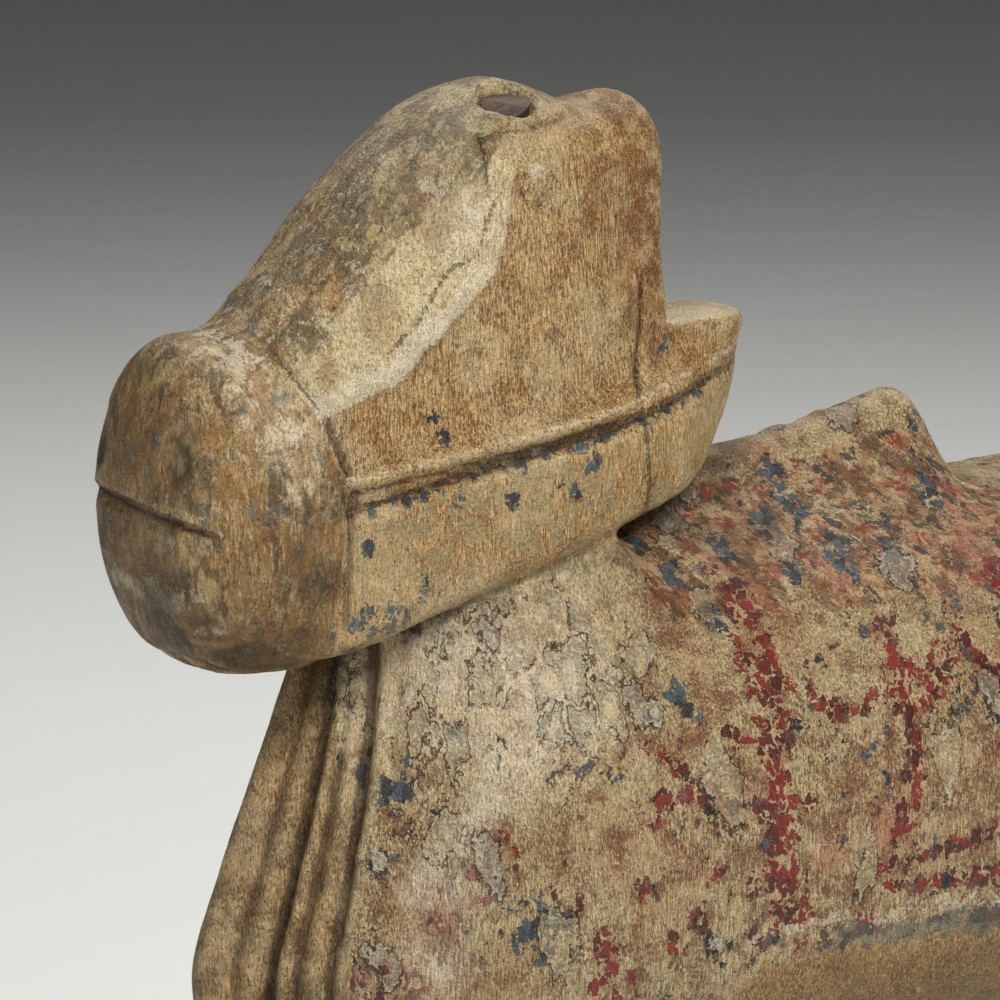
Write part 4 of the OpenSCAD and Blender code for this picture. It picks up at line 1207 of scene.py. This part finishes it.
def chalk_layer(f):
    smooth = f.over(f.mix(ink(190, 167, 126), ink(233, 217, 182), f.step(f.streak, 0.33, 0.67)),
                    ((186, 146, 96), f.zone, 0.50, 0.62, 0.42),
                    ((112, 84, 50), f.fine, 0.57, 0.65, 0.66))
    aged = f.over(f.mix(ink(140, 120, 80), ink(204, 186, 146), f.step(f.streak, 0.32, 0.68)),
                  ((170, 124, 84), f.broad, 0.48, 0.62, 0.40),
                  ((130, 104, 60), f.zone, 0.48, 0.62, 0.50),
                  ((232, 222, 188), f.fibre, 0.54, 0.64, 0.55),
                  ((88, 58, 34), f.pits, 0.56, 0.66, 0.66),
                  ((146, 62, 48), f.specks, 0.555, 0.61, 0.70))
    return f.mix(smooth, aged, f.known("aged"))


def grounded(f):
    blur = f.sum("MULTIPLY_ADD", f.known("aged"), -0.12, 0.15)
    f.ground = f.step(f.plus(f.known("ground"), f.times(f.ragged, 1.6)),
                      f.sum("SUBTRACT", 0.5, blur), f.plus(blur, 0.5))
    return f.mix(wood_layer(f), chalk_layer(f), f.ground)


colour = grounded(paint)
print("wood and chalk:", len(paint.tree.nodes), "nodes")

# %% [markdown]
# ## Mottled places
# The bridge of the nose, the muzzle and the flank of the hump have lost so much that all
# layers show at once in small dabs. Each has a table of tones, laid one over the other, each
# with its own grain size. On the bridge and the hump the dabs run aslant, as the brush went.

# %% Mottled places
# Tone, dabs to the metre, where in the noise a dab starts, how much it covers
BRIDGE_DABS = [
    ((116, 104, 74), 150, 0.46, 0.80), ((158, 106, 54), 230, 0.55, 0.65),
    ((96, 106, 104), 300, 0.56, 0.70), ((202, 180, 130), 380, 0.53, 0.75),
    ((70, 54, 34), 620, 0.57, 0.60), ((232, 220, 192), 760, 0.61, 0.85)]
MUZZLE_DABS = [
    ((202, 178, 128), 60, 0.54, 0.70), ((148, 100, 44), 95, 0.47, 0.70),
    ((80, 64, 36), 140, 0.53, 0.80), ((80, 102, 112), 260, 0.56, 0.62),
    ((120, 96, 52), 420, 0.52, 0.60), ((216, 198, 158), 520, 0.58, 0.55),
    ((56, 42, 26), 800, 0.57, 0.60)]
HUMP_DABS = [
    ((168, 106, 66), 130, 0.48, 0.75), ((108, 78, 46), 170, 0.50, 0.80),
    ((194, 160, 120), 210, 0.53, 0.75), ((146, 44, 42), 260, 0.58, 0.85),
    ((48, 54, 60), 230, 0.575, 0.90), ((78, 56, 36), 560, 0.56, 0.65),
    ((212, 182, 140), 640, 0.59, 0.70)]


def mottled(f, colour):
    # The plan's name for the place, its dabs, the grid they lie in and how soft their edge is
    for name, dabs, at, blur in (("mottle", BRIDGE_DABS, f.leaned(-40, 1.6), 0.09),
                                 ("stain", MUZZLE_DABS, f.scaled(1.0, 1.0, 0.5), 0.09),
                                 ("hump", HUMP_DABS, f.leaned(38, 2.0), 0.05)):
        tones = [(tone, f.noise(per_metre, 3, 0.66, at, 0.4), start, start + blur, share)
                 for tone, per_metre, start, share in dabs]
        share = f.step(f.plus(f.known(name), f.times(f.ragged, 1.2)), 0.35, 0.60)
        colour = f.mix(colour, f.over(colour, *tones), share)
    return colour


colour = mottled(paint, colour)
print("mottled places:", len(paint.tree.nodes), "nodes")

# %% [markdown]
# ## Coloured cells
# The red lines of the saddle cloth and the blue touches were thick paint. It dried into
# angular cells, taller than wide, and about half of them fell off. What is left of a cell
# keeps a crisp edge with a pale rim, where the ground shows in section. Rust brown stands on
# the crest, a faded pink on the cloth and a thin grey along its hem.

# %% Coloured cells
def cell_paint(f, colour, name, spread, seams, dark, light):
    amount = f.plus(f.known(name), f.around(f.cell, 0.65), f.times(f.ragged, spread))
    whole = f.step(f.plus(f.seam, f.around(f.middle, 0.90), 0.06 - seams), 0.00, 0.04)
    left = f.times(f.step(amount, 0.47, 0.49), whole, f.step(f.known(name), 0.01, 0.08))
    rim = f.times(f.step(amount, 0.43, 0.47), f.less(left))
    tone = f.mix(dark, light, f.step(f.shade, 0.15, 0.85))
    worn = f.mix(dark, ink(30, 22, 20), 0.4)
    tone = f.mix(tone, worn, f.times(f.step(f.fine, 0.53, 0.62), 0.5))
    colour = f.mix(colour, ink(206, 182, 142), f.times(rim, 0.55))
    return f.mix(colour, tone, f.times(left, 0.94)), left


def coloured(f, colour):
    rust = f.times(f.known("rust"), f.step(f.plus(f.middle, f.around(f.fine, 0.5)), 0.40, 0.56))
    rusty = f.mix(ink(92, 54, 20), ink(186, 112, 40), f.step(f.grit, 0.44, 0.54))
    colour = f.mix(colour, rusty, f.times(rust, 0.80))
    stain = f.step(f.plus(f.known("red"), f.times(f.ragged, 2.0)), 0.30, 0.70)
    colour = f.mix(colour, ink(140, 84, 58), f.times(stain, 0.40))
    pink = f.step(f.plus(f.known("pink"), f.times(f.ragged, 2.2)), 0.46, 0.66)
    faded = f.mix(ink(190, 128, 104), ink(150, 62, 56), f.step(f.fine, 0.50, 0.60))
    colour = f.mix(colour, faded, f.times(pink, 0.55))
    f.seam, f.cell, f.shade = f.plates(400, f.warped(460, 0.0034, f.scaled(1.0, 1.0, 0.66)))
    colour, f.red = cell_paint(f, colour, "red", 2.0, 0.08, ink(78, 20, 20), ink(144, 38, 32))
    colour, f.blue = cell_paint(f, colour, "blue", 2.4, 0.03, ink(34, 44, 54), ink(82, 100, 112))
    hem = f.step(f.plus(f.known("teal"), f.times(f.ragged, 3.6)), 0.46, 0.60)
    return f.mix(colour, ink(98, 108, 98), f.times(hem, 0.60))


colour = coloured(paint, colour)
print("coloured cells:", len(paint.tree.nodes), "nodes")

# %% [markdown]
# ## Chalk, painted highlights and lifted flakes
# Where the paint has just come off, the chalk under it is still almost white. The same pale
# tones, and a soft pale wash, also paint highlights where the light falls. Here and there a
# piece of the ground has come loose and curls outwards, with a painted highlight on its lip and a
# dark crack beside it that is also its painted shadow. A few cells of a tall, warped pattern are
# chosen. Each is then eaten back from its own edge, so no two flakes share a border as tiles
# would.

# %% Chalk, painted highlights and lifted flakes
def chalked_and_highlighted(f, colour):
    # Chalk white where the ground is bare, and painted highlights where the plan puts them.
    left = f.step(f.plus(f.known("chalk"), f.times(f.ragged, 2.0), f.around(f.streak, 0.5)),
                  0.50, 0.60)
    pale = f.mix(ink(212, 196, 170), ink(242, 234, 220), f.step(f.grit, 0.44, 0.58))
    # Painted highlight: a pale wash laid where the plan puts it.
    painted_highlight = f.times(f.known("painted_highlight"), f.plus(0.20, f.times(f.step(f.streak, 0.38, 0.62), 0.62)))
    colour = f.mix(colour, ink(232, 214, 194), painted_highlight)
    return f.mix(colour, pale, f.times(left, 0.72))


def flaked(f, colour):
    edge, own, tone = f.plates(118, f.warped(230, 0.0080, f.scaled(1.0, 1.0, 0.46)))
    chosen = f.times(f.step(f.plus(own, f.known("flake")), 0.96, 0.99),
                     f.step(f.known("flake"), 0.0, 0.04))
    inside = f.plus(edge, f.around(f.fine, -0.30), f.around(f.middle, -0.30), -0.10)
    f.flake = f.times(f.step(inside, 0.0, 0.02), chosen)
    f.curl = f.times(f.flake, f.step(inside, 0.22, 0.02))
    pale = f.mix(ink(224, 210, 180), ink(204, 204, 196), f.step(tone, 0.55, 0.85))
    pale = f.over(pale, ((168, 138, 96), f.fine, 0.48, 0.60, 0.55))
    colour = f.mix(colour, pale, f.times(f.flake, 0.34))
    # Painted highlight on the lip of each lifted flake.
    lip = f.times(f.near(f.plus(inside, -0.07), 0.05), chosen)
    colour = f.mix(colour, ink(240, 230, 210), f.times(lip, f.step(f.middle, 0.42, 0.56), 0.65))
    # A dark line at the flake's edge: the crack and its painted shadow.
    f.crack = f.times(f.near(inside, 0.045), chosen, f.step(f.zone, 0.40, 0.50))
    return f.mix(colour, ink(58, 38, 24), f.times(f.crack, 0.85))


colour = flaked(paint, chalked_and_highlighted(paint, colour))
print("chalk and flakes:", len(paint.tree.nodes), "nodes")

# %% [markdown]
# ## Dirt, painted shade, cuts and relief
# Hollows and knife cuts get dark dirt and painted shade, and handling keeps the edges pale.
# The heights of all layers are then added into one relief, in shares of a millimetre, so the
# light shows every flake, thread and pit. Old oil has yellowed over everything, so a last glaze
# takes some blue.

# %% Dirt, painted shade, cuts and relief
RELIEF = 1.1*MM
OIL_TINT = (0.98, 0.95, 0.84, 1.0)


def soiled_and_shaded(f, colour):
    hollow = f.known("hollow")
    # Hollows are darkened: dirt and painted shade.
    colour = f.mix(colour, ink(56, 40, 24), f.times(f.step(hollow, 0.03, 0.50), 0.66))
    handled = f.times(f.step(hollow, -0.06, -0.50), f.step(f.fine, 0.44, 0.56), 0.50)
    colour = f.mix(colour, ink(224, 204, 164), handled)
    colour = f.over(colour, ((60, 42, 26), f.grit, 0.60, 0.67, 0.45))
    # Knife cuts are darkened: dirt in them and their painted shade, drawn thinner than the mesh.
    f.cut = f.step(f.plus(f.known("cut"), f.around(f.fine, 2.4), f.around(f.middle, 1.6)),
                   0.75, 0.25)
    colour = f.mix(colour, ink(66, 46, 28), f.times(f.cut, 0.62))
    # Dirt, together with the painted shadow and shade from the plan, darkens the colour.
    f.dirt_and_shade = f.times(f.known("dirt_and_shade"), f.plus(0.45, f.times(f.step(f.zone, 0.38, 0.60), 0.70)))
    colour = f.mix(colour, ink(66, 50, 30), f.sum("MINIMUM", f.dirt_and_shade, 0.80))
    return f.mix(colour, OIL_TINT, 1.0, "MULTIPLY")


def raised(f):
    grit = f.times(f.grit, f.plus(0.28, f.times(f.known("aged"), 0.30)))
    height = f.plus(f.times(f.fibre, 0.42), f.times(f.streak, 0.40), f.times(f.fine, 0.66), grit,
                    f.times(f.ground, 0.26), f.times(f.flake, 0.36), f.times(f.curl, 0.90),
                    f.times(f.red, 0.30), f.times(f.blue, 0.30))
    lost = f.plus(f.times(f.crack, 0.50), f.times(f.cut, 0.60),
                  f.times(f.step(f.pits, 0.56, 0.64), 0.34))
    return f.bump(f.sum("SUBTRACT", height, lost), RELIEF)


colour = soiled_and_shaded(paint, colour)
rough = paint.plus(0.27, paint.times(paint.fine, 0.28), paint.times(paint.dirt_and_shade, 0.20))
bull.data.materials.append(paint.done(colour, rough, raised(paint)))
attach(bull, "bull")
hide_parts("carved_bull")
print("bull's paint:", len(paint.tree.nodes), "nodes")

# %% [markdown]
# ## Iron and bare wood
# The axles, washers, pins and the tow eye are forged iron, brown with old rust. The wheels
# are bare turned wood and the horn tenons dark end grain. Their CAD shapes are right, so they
# keep them and only get a finish.

# %% Rusty iron and bare wood
FINE_RELIEF = 0.6*MM


def rusty_iron():
    f = Finish("rusty_iron")
    broad, fine, tiny = f.noise(160, 4), f.noise(900, 4, 0.6), f.noise(3200, 3, 0.6)
    colour = f.over(f.mix(ink(58, 48, 42), ink(104, 68, 44), f.step(fine, 0.36, 0.64)),
                    ((134, 82, 44), tiny, 0.54, 0.68, 0.7), ((38, 32, 30), broad, 0.52, 0.66, 0.7))
    normal = f.bump(f.plus(f.times(fine, 0.7), f.times(tiny, 0.3)), FINE_RELIEF)
    metal = f.times(f.less(f.step(fine, 0.40, 0.56)), 0.55)
    return f.done(colour, f.plus(0.50, f.times(tiny, 0.35)), normal, metal)


def bare_wood(name, dark, light, along):
    """Wood whose grain runs where the given stretch is small."""
    f = Finish(name)
    at = f.scaled(*along)
    streak, grain = f.noise(300, 4, 0.6, at, 0.6), f.noise(1700, 4, 0.6, at)
    broad, fine = f.noise(60, 3), f.noise(1100, 3)
    colour = f.over(f.mix(dark, light, f.step(streak, 0.34, 0.66)),
                    ((74, 52, 32), grain, 0.55, 0.70, 0.6), ((66, 50, 34), broad, 0.50, 0.68, 0.55))
    normal = f.bump(f.plus(f.times(grain, 0.5), f.times(fine, 0.3)), FINE_RELIEF)
    return f.done(colour, f.plus(0.50, f.times(fine, 0.25)), normal)


IRON = rusty_iron()
WHEEL_WOOD = bare_wood("wheel_wood", ink(112, 82, 50), ink(164, 128, 84), (1.0, 1.0, 0.08))
TENON_WOOD = bare_wood("tenon_wood", ink(34, 24, 15), ink(90, 66, 43), (1.0, 0.08, 1.0))


def finish_of(name):
    if name.endswith("_wheel"):
        return WHEEL_WOOD
    return TENON_WOOD if name.startswith("horn_stub") else IRON


fittings = {name: node for name, node in nodes.items() if name != "carved_bull"}
for name, node in fittings.items():
    node.data.materials.clear()
    node.data.materials.append(finish_of(name))
print("fittings finished:", len(fittings))

# %% [markdown]
# ## Floor and light
# A plain pale floor and soft light from above the camera, a little to its right, as in the
# photograph: upward faces are bright, the front of the muzzle and the back of the hump stay
# dark. The lamps are large, so shadows have no hard edge.

# %% Floor and light
FLOOR_SIZE = 40
# Lamp: turn and rise in degrees, distance and size in metres, power in watts
LAMPS = {"key_lamp": (98, 48, 1.8, 0.55, 33), "fill_lamp": (25, 30, 1.9, 1.2, 9),
         "back_lamp": (235, 50, 1.4, 0.9, 9.5)}
SKY, SKY_STRENGTH = ink(216, 220, 224), 0.045


def plain_floor():
    bpy.ops.mesh.primitive_plane_add(size=FLOOR_SIZE, location=(0, 0, 0))
    floor = bpy.context.object
    floor.name = "floor"
    f = Finish("pale_floor")
    colour = f.mix(ink(234, 234, 229), ink(240, 240, 235), f.noise(1.5, 2))
    floor.data.materials.append(f.done(colour, 0.9, f.bump(f.noise(40, 2), 0.5*MM)))


def soft_lamp(name, turn, rise, away, size, power):
    toward = back_vector(math.radians(turn), math.radians(rise))
    data = bpy.data.lights.new(name, "AREA")
    data.size = size
    data.energy = power
    lamp = bpy.data.objects.new(name, data)
    bpy.context.scene.collection.objects.link(lamp)
    lamp.location = VIEW_AT + toward*away
    lamp.rotation_euler = toward.to_track_quat("Z", "Y").to_euler()


def even_sky():
    world = bpy.data.worlds.new("studio")
    bpy.context.scene.world = world
    world.use_nodes = True
    background = world.node_tree.nodes["Background"]
    background.inputs["Color"].default_value = SKY
    background.inputs["Strength"].default_value = SKY_STRENGTH


plain_floor()
for name, settings in LAMPS.items():
    soft_lamp(name, *settings)
even_sky()
bpy.context.scene.view_settings.view_transform = "Standard"
print("lamps:", len(LAMPS))
